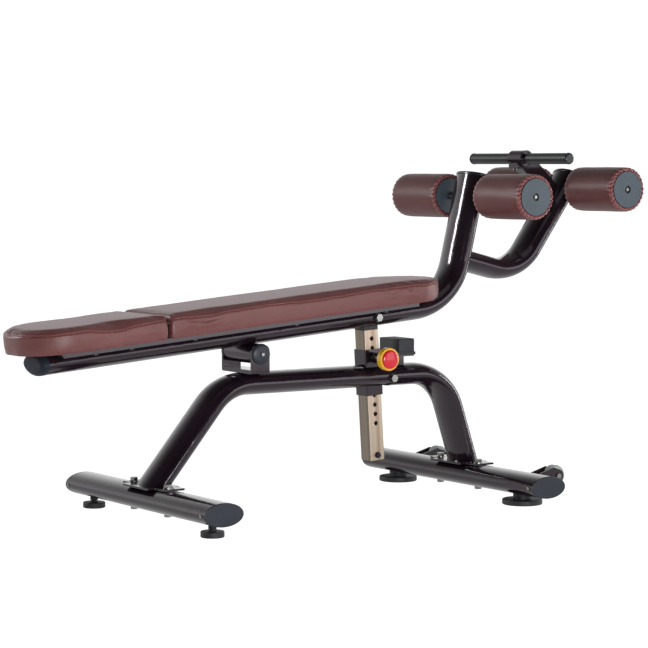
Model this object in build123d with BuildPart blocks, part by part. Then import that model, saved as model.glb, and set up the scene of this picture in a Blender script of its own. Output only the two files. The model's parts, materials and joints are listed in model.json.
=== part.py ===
from build123d import *
import math
import os

# Adjustable ab crunch bench. Millimetres, +Z up, origin on the floor at the middle of the machine.
# +X runs from the head end to the leg rollers, -Y is the side with the pull knob.

# ---- driving dimensions ----
GAP = 0.3                   # clearance between soft parts and their neighbours
RUN = 0.05                  # radial clearance of a shaft that turns in its bore

tube_w = 110.0              # oval frame tube, across the machine
tube_t = 58.0               # oval frame tube, thickness
wall = 3.0                  # tube wall

bar_w = 110.0               # oval foot bar, along the machine
bar_t = 58.0                # oval foot bar, height
front_bar_z = 59.0          # heights of the foot bars' centres
rear_bar_z = 54.0
bar_cap_t = 5.0             # thickness of the bars' plastic end caps
front_bar_x = -495.0
front_bar_len = 690.0
rear_bar_x = 471.0
rear_bar_len = 756.0
leg_plate_t = 5.0           # plates between the legs and the foot bars
leg_bolt_y = 84.0

base_z = 332.0              # centre height of the base tube's level run
front_leg_angle = 50.0      # slope of the front leg
rear_leg_angle = 71.4       # slope of the rear leg
front_knee_x = -285.0       # where the leg lines meet the level run
rear_knee_x = 400.0
base_bend_r = 135.0

pivot_x = -215.0            # bench hinge
pivot_z = 411.0
bench_slope = 4.86          # slope of the bench at rest
beam_offset = 48.2          # beam centre line above the hinge axis
beam_front_s = -585.0       # beam's front end, measured along the beam from the hinge
beam_knee_s = 646.8         # where the beam turns up into the upright
beam_bend_r = 165.0
upright_angle = 76.3        # slope of the upright
upright_len = 355.0         # from the knee to the upright's top
arm_root = 126.8            # where the rear arm leaves the upright, from the knee
arm_run = 199.8             # rear arm's lower run, from the upright's centre line to its knee
arm_angle = 53.6            # slope of the rear arm's upper run
arm_axle = 288.5            # from the arm's knee to its axle
arm_over = 42.0             # arm tube beyond its axle
arm_bend_r = 125.0
front_axle_up = 300.5       # front axle, from the beam's knee
front_axle_off = 8.0        # front axle, off the upright's centre line

post_size = 45.0            # square height post
post_wall = 3.0
post_pivot_s = 379.5        # open pivot on the beam, along the beam from the hinge
post_pivot_w = 46.2         # open pivot, above the hinge axis
hole_pitch = 25.0
hole_count = 10
first_hole = 57.5           # post's first hole, below the open pivot
hole_r = 6.0
post_top = 34.5             # post tube's ends, below the open pivot
post_bottom = 381.0
sleeve_pivot_x = 208.0      # bolt that the sleeve swings on
sleeve_pivot_z = 327.4
sleeve_pivot_off = 38.5     # that bolt's distance from the post's centre line
sleeve_size = 52.0
sleeve_top = 85.5           # sleeve's ends, below the open pivot
sleeve_bottom = 207.7
pin_drop = 107.5            # pull pin, below the open pivot
pin_r = 5.4
pin_travel = 12.0
knob_r = 30.0
bolt_r = 6.0                # the M12 bolts of the frame

pad_w = 250.0
pad_side = 48.0             # pad's upright side
pad_t = 60.0                # pad's full thickness
pad_lift = 30.0             # pad's underside above the beam's centre line
pad_bevel = 20.0
head_pad_s = (-657.6, -291.0)
back_pad_s = (-281.5, 588.0)
pad_corner_r = 112.0
board_t = 12.0
board_inset = 9.0

roller_r = 60.0
roller_in = 85.5            # rollers' inner and outer ends, from the middle plane
roller_out = 282.5
disc_r = 48.5
disc_t = 4.0
axle_r = 8.0

handle_x = 678.0
handle_z = 905.0
handle_half = 212.0
handle_r = 12.5
grip_r = 15.0

lever_y = 295.0             # front levelling feet
rear_foot_x = 467.0
rear_foot_y = 278.0
rear_foot_r = 53.0
wheel_x = 590.0
wheel_z = 64.0
wheel_y = 258.0
wheel_r = 28.0
wheel_w = 25.0

os.makedirs("parts", exist_ok=True)


def cos(degrees):
    return math.cos(math.radians(degrees))


def sin(degrees):
    return math.sin(math.radians(degrees))


def step(point, angle, distance):
    """The point a distance away from another in the XZ plane, at a slope."""
    return (point[0] + distance * cos(angle), point[1] + distance * sin(angle))


def bench(s, w):
    """X and Z of a point s along the bench from the hinge and w above the hinge axis."""
    return (
        pivot_x + s * cos(bench_slope) - w * sin(bench_slope),
        pivot_z + s * sin(bench_slope) + w * cos(bench_slope),
    )


def save(part, name):
    """Label a finished part and write its STEP file."""
    part.part.label = name
    export_step(part.part, f"parts/{name}.step")


def oval(width, thickness):
    """A hollow oval profile in the current sketch."""
    Ellipse(width / 2, thickness / 2)
    Ellipse(width / 2 - wall, thickness / 2 - wall, mode=Mode.SUBTRACT)


def side_path(points, radius):
    """A centre line in the XZ plane, with round corners."""
    with BuildLine(Plane.XZ) as path:
        FilletPolyline(*points, radius=radius)
    return path.line


def section_plane(path):
    """The plane across the start of a path, with its local X across the machine."""
    return Plane(origin=path @ 0, x_dir=(0, 1, 0), z_dir=path % 0)


def solid_oval(path, grow=0.0):
    """The full outer shape of an oval tube, for coping its neighbours."""
    with BuildPart() as solid:
        with BuildSketch(section_plane(path)):
            Ellipse(tube_w / 2 + grow, tube_t / 2 + grow)
        sweep(path=path)
    return solid.part


def across(x, z, y=0.0):
    """A plane whose normal points to -Y, at a point of the machine's side."""
    return Plane(origin=(x, y, z), x_dir=(1, 0, 0), z_dir=(0, -1, 0))


def cross_cylinder(x, z, radius, y_from, y_to, mode=Mode.ADD):
    """A cylinder along Y between two distances across the machine."""
    with BuildSketch(across(x, z, y_from)) as profile:
        Circle(radius)
    extrude(profile.sketch, amount=y_from - y_to, mode=mode)


def cross_hexagon(x, z, flats, y_from, y_to):
    """A hexagonal prism along Y."""
    with BuildSketch(across(x, z, y_from)) as profile:
        RegularPolygon(flats / 2, 6, major_radius=False)
    extrude(profile.sketch, amount=y_from - y_to)


def upright_cylinder(x, y, radius, z_from, z_to, mode=Mode.ADD):
    """A cylinder along Z."""
    with BuildSketch(Plane(origin=(x, y, z_from))) as profile:
        Circle(radius)
    extrude(profile.sketch, amount=z_to - z_from, mode=mode)


def upright_hexagon(x, y, flats, z_from, z_to):
    """A hexagonal prism along Z."""
    with BuildSketch(Plane(origin=(x, y, z_from))) as profile:
        RegularPolygon(flats / 2, 6, major_radius=False)
    extrude(profile.sketch, amount=z_to - z_from)


# ---- derived places ----
bars = ((front_bar_x, front_bar_z, front_bar_len), (rear_bar_x, rear_bar_z, rear_bar_len))
front_plate_top = front_bar_z + bar_t / 2 + leg_plate_t
rear_plate_top = rear_bar_z + bar_t / 2 + leg_plate_t
base_top = base_z + tube_t / 2

front_foot = step((front_knee_x, base_z), 180 + front_leg_angle, 340)
rear_foot = step((rear_knee_x, base_z), -rear_leg_angle, 280)
base_path = side_path(
    [front_foot, (front_knee_x, base_z), (rear_knee_x, base_z), rear_foot], base_bend_r
)

beam_front = bench(beam_front_s, beam_offset)
beam_knee = bench(beam_knee_s, beam_offset)
upright_top = step(beam_knee, upright_angle, upright_len)
bench_path = side_path([beam_front, beam_knee, upright_top], beam_bend_r)

arm_start = step(beam_knee, upright_angle, arm_root)
arm_knee = step(arm_start, upright_angle - 90, arm_run)
rear_axle = step(arm_knee, arm_angle, arm_axle)
arm_top = step(rear_axle, arm_angle, arm_over)
arm_path = side_path([arm_start, arm_knee, arm_top], arm_bend_r)
front_axle = step(
    step(beam_knee, upright_angle, front_axle_up), upright_angle - 90, front_axle_off
)

post_pivot = bench(post_pivot_s, post_pivot_w)
to_sleeve_x = sleeve_pivot_x - post_pivot[0]
to_sleeve_z = post_pivot[1] - sleeve_pivot_z
post_tilt = math.degrees(
    math.atan2(to_sleeve_x, to_sleeve_z)
    - math.asin(sleeve_pivot_off / math.hypot(to_sleeve_x, to_sleeve_z))
)


def post(drop, off=0.0):
    """X and Z of a point down the post from the open pivot, and off its centre line."""
    return (
        post_pivot[0] + drop * sin(post_tilt) + off * cos(post_tilt),
        post_pivot[1] - drop * cos(post_tilt) + off * sin(post_tilt),
    )


def post_plane(drop):
    """The plane across the post at a distance below the open pivot, facing up the post."""
    x, z = post(drop)
    return Plane(origin=(x, 0, z), x_dir=(cos(post_tilt), 0, sin(post_tilt)),
                 z_dir=(-sin(post_tilt), 0, cos(post_tilt)))


print("post pivot", post_pivot, "post tilt", post_tilt)
print("front axle", front_axle, "rear axle", rear_axle)

base_solid = solid_oval(base_path)
bench_solid = solid_oval(bench_path)
bench_grown = solid_oval(bench_path, 3.0)


# ================= base =================

SLOT_FRONT = -77.0          # slot for the sleeve, from the sleeve's pivot
SLOT_BACK = 15.0
slot_len = SLOT_BACK - SLOT_FRONT
slot_w = sleeve_size + 7.0

with BuildPart() as base_main_tube:
    with BuildSketch(section_plane(base_path)):
        oval(tube_w, tube_t)
    sweep(path=base_path)
    for x, plate_top in ((front_bar_x, front_plate_top), (rear_bar_x, rear_plate_top)):
        with BuildSketch(Plane(origin=(x, 0, plate_top))):
            Rectangle(700, 400)
        extrude(amount=-200, mode=Mode.SUBTRACT)
    with BuildSketch(Plane(origin=(sleeve_pivot_x + (SLOT_FRONT + SLOT_BACK) / 2, 0, base_z))):
        RectangleRounded(slot_len, slot_w, 8)
    extrude(amount=tube_t, both=True, mode=Mode.SUBTRACT)
    cross_cylinder(sleeve_pivot_x, sleeve_pivot_z, bolt_r + 0.3, tube_w, -tube_w, Mode.SUBTRACT)
save(base_main_tube, "base_main_tube")


def leg_plate(x, bar_z, ear_shift):
    """Leg plate with a narrower ear at each end; the steps make the notches in its edges."""
    with BuildSketch(Plane(origin=(x, 0, bar_z + bar_t / 2))) as outline:
        Rectangle(92, 124)
        with Locations((ear_shift, 0)):
            Rectangle(58, 212)
        fillet(outline.vertices(), 3)
        with Locations((0, leg_bolt_y), (0, -leg_bolt_y)):
            Circle(bolt_r + 0.5, mode=Mode.SUBTRACT)
    extrude(outline.sketch, amount=leg_plate_t)


with BuildPart() as front_leg_plate:
    leg_plate(front_bar_x, front_bar_z, 8)
save(front_leg_plate, "front_leg_plate")

with BuildPart() as rear_leg_plate:
    leg_plate(rear_bar_x, rear_bar_z, 8)
save(rear_leg_plate, "rear_leg_plate")

CAP_SCREW_IN = 12.0         # cap screws, from the bar tube's end
CAP_SCREW_R = 2.0


def foot_bar(x, bar_z, length):
    """Oval foot bar with its bolt holes and the holes of its cap screws."""
    with BuildSketch(across(x, bar_z, length / 2)) as section:
        oval(bar_w, bar_t)
    extrude(section.sketch, amount=length)
    for y in (leg_bolt_y, -leg_bolt_y):
        upright_cylinder(x, y, bolt_r + 0.5, 0, 100, Mode.SUBTRACT)
    for y in (length / 2 - CAP_SCREW_IN, CAP_SCREW_IN - length / 2):
        with BuildSketch(Plane(origin=(x, y, bar_z), x_dir=(0, 1, 0), z_dir=(-1, 0, 0))) as hole:
            Circle(CAP_SCREW_R + 0.2)
        extrude(hole.sketch, amount=bar_w, mode=Mode.SUBTRACT)


with BuildPart() as front_foot_bar:
    foot_bar(front_bar_x, front_bar_z, front_bar_len)
    for y in (lever_y, -lever_y):
        upright_cylinder(front_bar_x, y, bolt_r + RUN, 20, front_bar_z, Mode.SUBTRACT)
save(front_foot_bar, "front_foot_bar")

with BuildPart() as rear_foot_bar:
    foot_bar(rear_bar_x, rear_bar_z, rear_bar_len)
save(rear_foot_bar, "rear_foot_bar")

PLUG_LEN = 9.0


def bar_cap(x, bar_z, end):
    """Oval cap with a plug that fits inside the bar's end; end is the Y of the tube's end."""
    outward = 1 if end > 0 else -1
    face = Plane(origin=(x, end, bar_z), x_dir=(1, 0, 0), z_dir=(0, outward, 0))
    with BuildSketch(face) as flange:
        Ellipse(bar_w / 2, bar_t / 2)
    extrude(flange.sketch, amount=bar_cap_t)
    with BuildSketch(face) as plug:
        Ellipse(bar_w / 2 - wall - GAP, bar_t / 2 - wall - GAP)
    extrude(plug.sketch, amount=-PLUG_LEN)


with BuildPart() as foot_bar_end_caps:
    for bar_x, bar_z, bar_len in bars:
        for side in (1, -1):
            bar_cap(bar_x, bar_z, side * bar_len / 2)
    outer_rims = foot_bar_end_caps.edges().filter_by(
        lambda edge: min(
            abs(abs(edge.center().Y) - front_bar_len / 2 - bar_cap_t),
            abs(abs(edge.center().Y) - rear_bar_len / 2 - bar_cap_t),
        ) < 0.1
    )
    fillet(outer_rims, 2.0)
save(foot_bar_end_caps, "foot_bar_end_caps")

WASHER_T = 2.0
HEX_FLATS = 18.0
LEG_NUT_T = 7.5             # thin nuts under the foot bars

with BuildPart() as leg_bolts:
    for bar_x, bar_z, bar_len in bars:
        seat_z = bar_z + bar_t / 2 + leg_plate_t + WASHER_T
        for y in (leg_bolt_y, -leg_bolt_y):
            upright_hexagon(bar_x, y, HEX_FLATS, seat_z, seat_z + 8)
            upright_cylinder(bar_x, y, bolt_r, bar_z - bar_t / 2 - LEG_NUT_T - 1, seat_z)
save(leg_bolts, "leg_bolts")

# Front levelling feet: a rubber-faced disc on a threaded stem, locked by a nut under the bar.
LEVER_DISC_R = 29.0
LEVER_DISC_T = 15.0


def leveller(y):
    upright_cylinder(front_bar_x, y, LEVER_DISC_R, 0, LEVER_DISC_T)
    upright_cylinder(front_bar_x, y, 10.5, LEVER_DISC_T, LEVER_DISC_T + 2.5)
    upright_cylinder(front_bar_x, y, bolt_r, LEVER_DISC_T + 2.5, front_bar_z)


with BuildPart() as leveller_left:
    leveller(-lever_y)
    fillet(leveller_left.edges().filter_by(
        lambda edge: edge.length > 2 * math.pi * (LEVER_DISC_R - 1)), 2.5)
save(leveller_left, "leveller_left")

with BuildPart() as leveller_right:
    leveller(lever_y)
    fillet(leveller_right.edges().filter_by(
        lambda edge: edge.length > 2 * math.pi * (LEVER_DISC_R - 1)), 2.5)
save(leveller_right, "leveller_right")

with BuildPart() as rear_rubber_feet:
    for y in (rear_foot_y, -rear_foot_y):
        upright_cylinder(rear_foot_x, y, rear_foot_r, 0, 14)
        upright_cylinder(rear_foot_x, y, 24, 14, rear_bar_z)
    fillet(rear_rubber_feet.edges().filter_by(
        lambda edge: edge.length > 2 * math.pi * (rear_foot_r - 1)), 3)
    with BuildSketch(across(rear_bar_x, rear_bar_z, rear_bar_len / 2)):
        Ellipse(bar_w / 2, bar_t / 2)
    extrude(amount=rear_bar_len, mode=Mode.SUBTRACT)
save(rear_rubber_feet, "rear_rubber_feet")

WHEEL_PLATE_IN = wheel_w / 2 + 2.5
WHEEL_PLATE_T = 4.0

with BuildPart() as wheel_brackets:
    for y in (wheel_y, -wheel_y):
        for edge_y in (y + WHEEL_PLATE_IN + WHEEL_PLATE_T, y - WHEEL_PLATE_IN):
            with BuildSketch(across(0, 0, edge_y)):
                with BuildLine():
                    Polyline((rear_bar_x + 40, rear_bar_z - 10), (rear_bar_x + 40, rear_bar_z + 12),
                             (rear_bar_x + 58, rear_bar_z + 21), (wheel_x - 14, wheel_z + 24),
                             (wheel_x, wheel_z + 18))
                    RadiusArc((wheel_x, wheel_z + 18), (wheel_x, wheel_z - 18), 18)
                    Line((wheel_x, wheel_z - 18), (rear_bar_x + 40, rear_bar_z - 10))
                make_face()
                with Locations((wheel_x, wheel_z)):
                    Circle(4.2, mode=Mode.SUBTRACT)
            extrude(amount=WHEEL_PLATE_T)
    with BuildSketch(across(rear_bar_x, rear_bar_z, rear_bar_len / 2)):
        Ellipse(bar_w / 2, bar_t / 2)
    extrude(amount=rear_bar_len, mode=Mode.SUBTRACT)
save(wheel_brackets, "wheel_brackets")


def transport_wheel(y):
    cross_cylinder(wheel_x, wheel_z, wheel_r, y + wheel_w / 2, y - wheel_w / 2)
    cross_cylinder(wheel_x, wheel_z, 9, y + wheel_w / 2 + 2, y - wheel_w / 2 - 2)
    cross_cylinder(wheel_x, wheel_z, 4 + RUN, y + wheel_w, y - wheel_w, Mode.SUBTRACT)


with BuildPart() as wheel_left:
    transport_wheel(-wheel_y)
    fillet(wheel_left.edges().filter_by(lambda edge: edge.length > 2 * math.pi * 27), 4)
save(wheel_left, "transport_wheel_left")

with BuildPart() as wheel_right:
    transport_wheel(wheel_y)
    fillet(wheel_right.edges().filter_by(lambda edge: edge.length > 2 * math.pi * 27), 4)
save(wheel_right, "transport_wheel_right")

with BuildPart() as wheel_axle_bolts:
    for y in (wheel_y, -wheel_y):
        outer = WHEEL_PLATE_IN + WHEEL_PLATE_T
        cross_cylinder(wheel_x, wheel_z, 4, y + outer + 8, y - outer)
        cross_cylinder(wheel_x, wheel_z, 7, y - outer, y - outer - 5)
        with BuildSketch(across(wheel_x, wheel_z, y + outer + 6.5)):
            RegularPolygon(6.5, 6, major_radius=False)
            Circle(4 + RUN, mode=Mode.SUBTRACT)
        extrude(amount=6.5)
save(wheel_axle_bolts, "wheel_axle_bolts")

# Hinge: a bent U bracket on the base tube, a long pin, a barrel under the beam.
EAR_IN = 66.0
EAR_T = 6.0
BRACKET_LEN = 54.0
BRACKET_TOP = 434.0
PIN_R = 10.0
ear_out = EAR_IN + EAR_T
hinge_floor = base_top + 10.0

with BuildPart() as hinge_bracket:
    with BuildSketch(Plane(origin=(pivot_x, 0, 0), x_dir=(0, 1, 0), z_dir=(1, 0, 0))):
        with BuildLine():
            Polyline((-ear_out, BRACKET_TOP), (-ear_out, base_top), (ear_out, base_top),
                     (ear_out, BRACKET_TOP), (EAR_IN, BRACKET_TOP), (EAR_IN, hinge_floor),
                     (-EAR_IN, hinge_floor), (-EAR_IN, BRACKET_TOP), close=True)
        make_face()
    extrude(amount=BRACKET_LEN / 2, both=True)
    fillet(hinge_bracket.edges().filter_by(Axis.Y).filter_by(
        lambda edge: edge.center().Z > BRACKET_TOP - 1), 16)
    fillet(hinge_bracket.edges().filter_by(Axis.X).filter_by(
        lambda edge: edge.center().Z < base_top + 1), 6)
    cross_cylinder(pivot_x, pivot_z, PIN_R + 0.2, 80, -80, Mode.SUBTRACT)
save(hinge_bracket, "hinge_bracket")

with BuildPart() as hinge_pin:
    cross_cylinder(pivot_x, pivot_z, PIN_R, ear_out + 4, -ear_out - 4)
    chamfer(hinge_pin.edges(), 1)
save(hinge_pin, "hinge_pin")

HINGE_CAP_R = 27.0
HINGE_CAP_T = 9.0

with BuildPart() as hinge_caps:
    for outward in (1, -1):
        cap_y = outward * (ear_out + 0.1)
        cap_end = cap_y + outward * HINGE_CAP_T
        cross_cylinder(pivot_x, pivot_z, HINGE_CAP_R, max(cap_y, cap_end), min(cap_y, cap_end))
    rims = hinge_caps.edges().filter_by(
        lambda edge: abs(abs(edge.center().Y) - ear_out - HINGE_CAP_T) < 0.2)
    fillet(rims, 6)
    cross_cylinder(pivot_x, pivot_z, PIN_R + GAP, ear_out + 4.2, -ear_out - 4.2, Mode.SUBTRACT)
    cross_cylinder(pivot_x, pivot_z, 3.3, 100, -100, Mode.SUBTRACT)
save(hinge_caps, "hinge_caps")

with BuildPart() as cap_screws:
    for bar_x, bar_z, bar_len in bars:
        for y in (bar_len / 2 - CAP_SCREW_IN, CAP_SCREW_IN - bar_len / 2):
            seat = Plane(origin=(bar_x - bar_w / 2, y, bar_z), x_dir=(0, 1, 0), z_dir=(-1, 0, 0))
            with BuildSketch(seat):
                Circle(4.2)
            extrude(amount=2.2)
            with BuildSketch(seat):
                Circle(CAP_SCREW_R)
            extrude(amount=-wall)
    for outward in (1, -1):
        seat_y = outward * (ear_out + HINGE_CAP_T + 0.1)
        top_y = seat_y + outward * 3
        tip_y = outward * (ear_out + 4.1)
        cross_cylinder(pivot_x, pivot_z, 4.4, max(seat_y, top_y), min(seat_y, top_y))
        cross_cylinder(pivot_x, pivot_z, 3.0, max(seat_y, tip_y), min(seat_y, tip_y))
save(cap_screws, "cap_screws")

# Rubber stop that the beam comes down on, on a bracket that straddles the base tube.
STOP_X = (235.0, 287.0)
STOP_Z = (386.0, 429.0)
STOP_HALF_Y = 45.0
stop_mid = (STOP_X[0] + STOP_X[1]) / 2

with BuildPart() as stop_bracket:
    with BuildSketch(Plane(origin=(stop_mid, 0, STOP_Z[0] - 4))):
        Rectangle(STOP_X[1] - STOP_X[0] + 2, 2 * STOP_HALF_Y - 10)
    extrude(amount=4)
    with BuildSketch(Plane(origin=(STOP_X[0] + 16, 0, base_z))):
        Rectangle(22, 60)
        Rectangle(14, 52, mode=Mode.SUBTRACT)
    extrude(amount=STOP_Z[0] - 4 - base_z)
    with BuildSketch(Plane(origin=(STOP_X[0] - 9, 0, base_z), x_dir=(0, 1, 0), z_dir=(1, 0, 0))):
        Ellipse(tube_w / 2 + 2.5, tube_t / 2 + 2.5)
        with Locations((0, -25)):
            Rectangle(200, 90, mode=Mode.SUBTRACT)
    extrude(amount=34)
    add(base_solid, mode=Mode.SUBTRACT)
save(stop_bracket, "stop_bracket")

with BuildPart() as stop_rubber:
    with BuildSketch(Plane(origin=(stop_mid, 0, STOP_Z[0]))):
        RectangleRounded(STOP_X[1] - STOP_X[0] + 5, 2 * STOP_HALF_Y + 5, 4)
    extrude(amount=8)
    with BuildSketch(Plane(origin=(stop_mid, 0, STOP_Z[0] + 8))):
        RectangleRounded(STOP_X[1] - STOP_X[0], 2 * STOP_HALF_Y, 4)
    extrude(amount=STOP_Z[1] - STOP_Z[0] - 8)
    fillet(stop_rubber.faces().sort_by(Axis.Z)[-1].edges(), 3)
save(stop_rubber, "stop_rubber")


def bolt_through(x, z, half_y):
    """M12 bolt across an oval tube, with its head on the knob's side."""
    head_y = -half_y - WASHER_T - 0.1
    cross_hexagon(x, z, HEX_FLATS, head_y, head_y - 8)
    cross_cylinder(x, z, bolt_r, half_y + 14, head_y)


def nut_and_washers(x, z, half_y):
    """The washers at both ends of such a bolt, and its nut."""
    for low in (-half_y - WASHER_T, half_y):
        with BuildSketch(across(x, z, low + WASHER_T)) as washer:
            Circle(13)
            Circle(bolt_r + RUN, mode=Mode.SUBTRACT)
        extrude(washer.sketch, amount=WASHER_T)
    with BuildSketch(across(x, z, half_y + WASHER_T + 10.2)) as nut:
        RegularPolygon(HEX_FLATS / 2, 6, major_radius=False)
        Circle(bolt_r + RUN, mode=Mode.SUBTRACT)
    extrude(nut.sketch, amount=10)


with BuildPart() as sleeve_pivot_bolt:
    bolt_through(sleeve_pivot_x, sleeve_pivot_z, tube_w / 2 + 0.2)
save(sleeve_pivot_bolt, "sleeve_pivot_bolt")


def nut_up(x, y, flats, z_from, z_to):
    """A hexagonal nut on a vertical M12 bolt."""
    with BuildSketch(Plane(origin=(x, y, z_from))) as profile:
        RegularPolygon(flats / 2, 6, major_radius=False)
        Circle(bolt_r + RUN, mode=Mode.SUBTRACT)
    extrude(profile.sketch, amount=z_to - z_from)


def washer_up(x, y, z_from):
    with BuildSketch(Plane(origin=(x, y, z_from))) as profile:
        Circle(12)
        Circle(bolt_r + RUN, mode=Mode.SUBTRACT)
    extrude(profile.sketch, amount=WASHER_T)


with BuildPart() as base_nuts:
    for bar_x, bar_z, bar_len in bars:
        nut_top = bar_z - bar_t / 2
        for y in (leg_bolt_y, -leg_bolt_y):
            washer_up(bar_x, y, bar_z + bar_t / 2 + leg_plate_t)
            nut_up(bar_x, y, HEX_FLATS, nut_top - LEG_NUT_T, nut_top)
    for y in (lever_y, -lever_y):
        nut_up(front_bar_x, y, 20, LEVER_DISC_T + 5, front_bar_z - bar_t / 2)
    nut_and_washers(sleeve_pivot_x, sleeve_pivot_z, tube_w / 2 + 0.2)
save(base_nuts, "base_nuts_and_washers")


# ================= sleeve and pull pin =================

with BuildPart() as sleeve_tube:
    with BuildSketch(post_plane(sleeve_bottom)):
        RectangleRounded(sleeve_size, sleeve_size, 3)
        Rectangle(post_size + 1, post_size + 1, mode=Mode.SUBTRACT)
    extrude(amount=sleeve_bottom - sleeve_top)
    pin_x, pin_z = post(pin_drop)
    cross_cylinder(pin_x, pin_z, pin_r + RUN, 0, -60, Mode.SUBTRACT)
save(sleeve_tube, "sleeve_tube")

BARREL_R = 13.0

with BuildPart() as sleeve_barrel:
    cross_cylinder(sleeve_pivot_x, sleeve_pivot_z, BARREL_R, sleeve_size / 2, -sleeve_size / 2)
    cross_cylinder(sleeve_pivot_x, sleeve_pivot_z, bolt_r + RUN, 60, -60, Mode.SUBTRACT)
    with BuildSketch(post_plane(sleeve_bottom)):
        Rectangle(sleeve_size, sleeve_size + 10)
    extrude(amount=sleeve_bottom - sleeve_top, mode=Mode.SUBTRACT)
save(sleeve_barrel, "sleeve_pivot_barrel")

housing_in = -sleeve_size / 2
housing_out = -66.0
CAVITY_R = 9.2
CAVITY_IN = -32.0
CAVITY_OUT = -60.0

with BuildPart() as pin_housing:
    cross_cylinder(pin_x, pin_z, 11.8, housing_in, housing_out)
    cross_hexagon(pin_x, pin_z, 27, -36, -46)
    cross_cylinder(pin_x, pin_z, CAVITY_R, CAVITY_IN, CAVITY_OUT, Mode.SUBTRACT)
    cross_cylinder(pin_x, pin_z, pin_r + RUN, 0, -90, Mode.SUBTRACT)
save(pin_housing, "pin_housing")

COLLAR_Y = (-44.2, -48.2)
SPRING_WIRE_R = 0.8
SPRING_R = 7.4
spring_from = COLLAR_Y[1] - SPRING_WIRE_R - 0.1
spring_to = CAVITY_OUT + SPRING_WIRE_R + 0.1
spring_len = spring_from - spring_to

with BuildPart() as pin_spring:
    with BuildLine() as coil:
        Helix(pitch=spring_len / 4, height=spring_len, radius=SPRING_R,
              center=(pin_x, spring_from, pin_z), direction=(0, -1, 0))
    with BuildSketch(Plane(origin=coil.line @ 0, z_dir=coil.line % 0)):
        Circle(SPRING_WIRE_R)
    sweep(is_frenet=True)
save(pin_spring, "pin_spring")

PIN_TIP = -post_size / 2 - 0.6
KNOB_BACK = -84.0
KNOB_FACE = -101.0

with BuildPart() as pull_pin:
    cross_cylinder(pin_x, pin_z, pin_r, PIN_TIP, KNOB_BACK - 10)
    chamfer(pull_pin.faces().sort_by(Axis.Y)[-1].edges(), 1)
    cross_cylinder(pin_x, pin_z, CAVITY_R - 0.2, COLLAR_Y[0], COLLAR_Y[1])
save(pull_pin, "pull_pin")

with BuildPart() as knob_body:
    cross_cylinder(pin_x, pin_z, 14, KNOB_BACK + 6, KNOB_BACK)
    cross_cylinder(pin_x, pin_z, knob_r, KNOB_BACK, KNOB_FACE)
    fillet(knob_body.faces().sort_by(Axis.Y)[0].edges(), 3)
    cross_cylinder(pin_x, pin_z, 25, KNOB_FACE + 3, KNOB_FACE - 5, Mode.SUBTRACT)
    cross_cylinder(pin_x, pin_z, pin_r, 0, KNOB_BACK - 10, Mode.SUBTRACT)
save(knob_body, "knob_body")

with BuildPart() as knob_face:
    cross_cylinder(pin_x, pin_z, 25, KNOB_FACE + 3, KNOB_FACE - 5.5)
    fillet(knob_face.faces().sort_by(Axis.Y)[0].edges(), 5)
save(knob_face, "knob_face")


# ================= height post =================

with BuildPart() as adjust_post:
    with BuildSketch(post_plane(post_bottom)):
        RectangleRounded(post_size, post_size, 2.5)
        Rectangle(post_size - 2 * post_wall, post_size - 2 * post_wall, mode=Mode.SUBTRACT)
    extrude(amount=post_bottom - post_top)
    for number in range(hole_count):
        hole_x, hole_z = post(first_hole + number * hole_pitch)
        cross_cylinder(hole_x, hole_z, hole_r, 0, -40, Mode.SUBTRACT)
    stop_x, stop_z = post(post_bottom - 13.5)
    cross_cylinder(stop_x, stop_z, 4.3, 0, -40, Mode.SUBTRACT)
save(adjust_post, "height_post")

OPEN_PIVOT_GAP = 1.6        # play round the bolt of the open pivot
lug_plug = post_size - 2 * post_wall - 0.6

with BuildPart() as post_top_lug:
    with BuildSketch(post_plane(post_top)):
        RectangleRounded(post_size, post_size, 2.5)
    extrude(amount=post_top)
    cross_cylinder(post_pivot[0], post_pivot[1], post_size / 2, post_size / 2, -post_size / 2)
    with BuildSketch(post_plane(post_top)):
        Rectangle(lug_plug, lug_plug)
    extrude(amount=-20)
    cross_cylinder(post_pivot[0], post_pivot[1], bolt_r + OPEN_PIVOT_GAP, 60, -60, Mode.SUBTRACT)
save(post_top_lug, "post_top_lug")

with BuildPart() as post_stop_bolt:
    face_y = -post_size / 2
    cross_cylinder(stop_x, stop_z, 8.5, face_y, face_y - 2)
    cross_cylinder(stop_x, stop_z, 6.5, face_y - 2, face_y - 7)
    cross_cylinder(stop_x, stop_z, 4, face_y + 12, face_y)
save(post_stop_bolt, "post_stop_bolt")


# ================= bench =================

with BuildPart() as bench_tube:
    with BuildSketch(section_plane(bench_path)):
        oval(tube_w, tube_t)
    sweep(path=bench_path)
    slot_x, slot_z = bench(post_pivot_s, beam_offset)
    with BuildSketch(Plane(origin=(slot_x, 0, slot_z), x_dir=(cos(bench_slope), 0, sin(bench_slope)),
                           z_dir=(sin(bench_slope), 0, -cos(bench_slope)))):
        RectangleRounded(66, post_size + 6, 6)
    extrude(amount=tube_t, mode=Mode.SUBTRACT)
    for x, z, radius in (
        (post_pivot[0], post_pivot[1], bolt_r + 0.3),
        (front_axle[0], front_axle[1], 11.0),
    ):
        cross_cylinder(x, z, radius, tube_w, -tube_w, Mode.SUBTRACT)
save(bench_tube, "bench_tube")

CAP_DOME = 20.0


def oval_cap(end, slope, dome):
    """Plastic cap on an oval tube's end; the end point, its outward slope, and the dome's height."""
    outward = (cos(slope), 0, sin(slope))
    face = Plane(origin=(end[0], 0, end[1]), x_dir=(0, 1, 0), z_dir=outward)
    with BuildSketch(face) as flange:
        Ellipse(tube_w / 2, tube_t / 2)
    extrude(flange.sketch, amount=dome)
    with BuildSketch(face) as plug:
        Ellipse(tube_w / 2 - wall - GAP, tube_t / 2 - wall - GAP)
    extrude(plug.sketch, amount=-PLUG_LEN)


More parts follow.
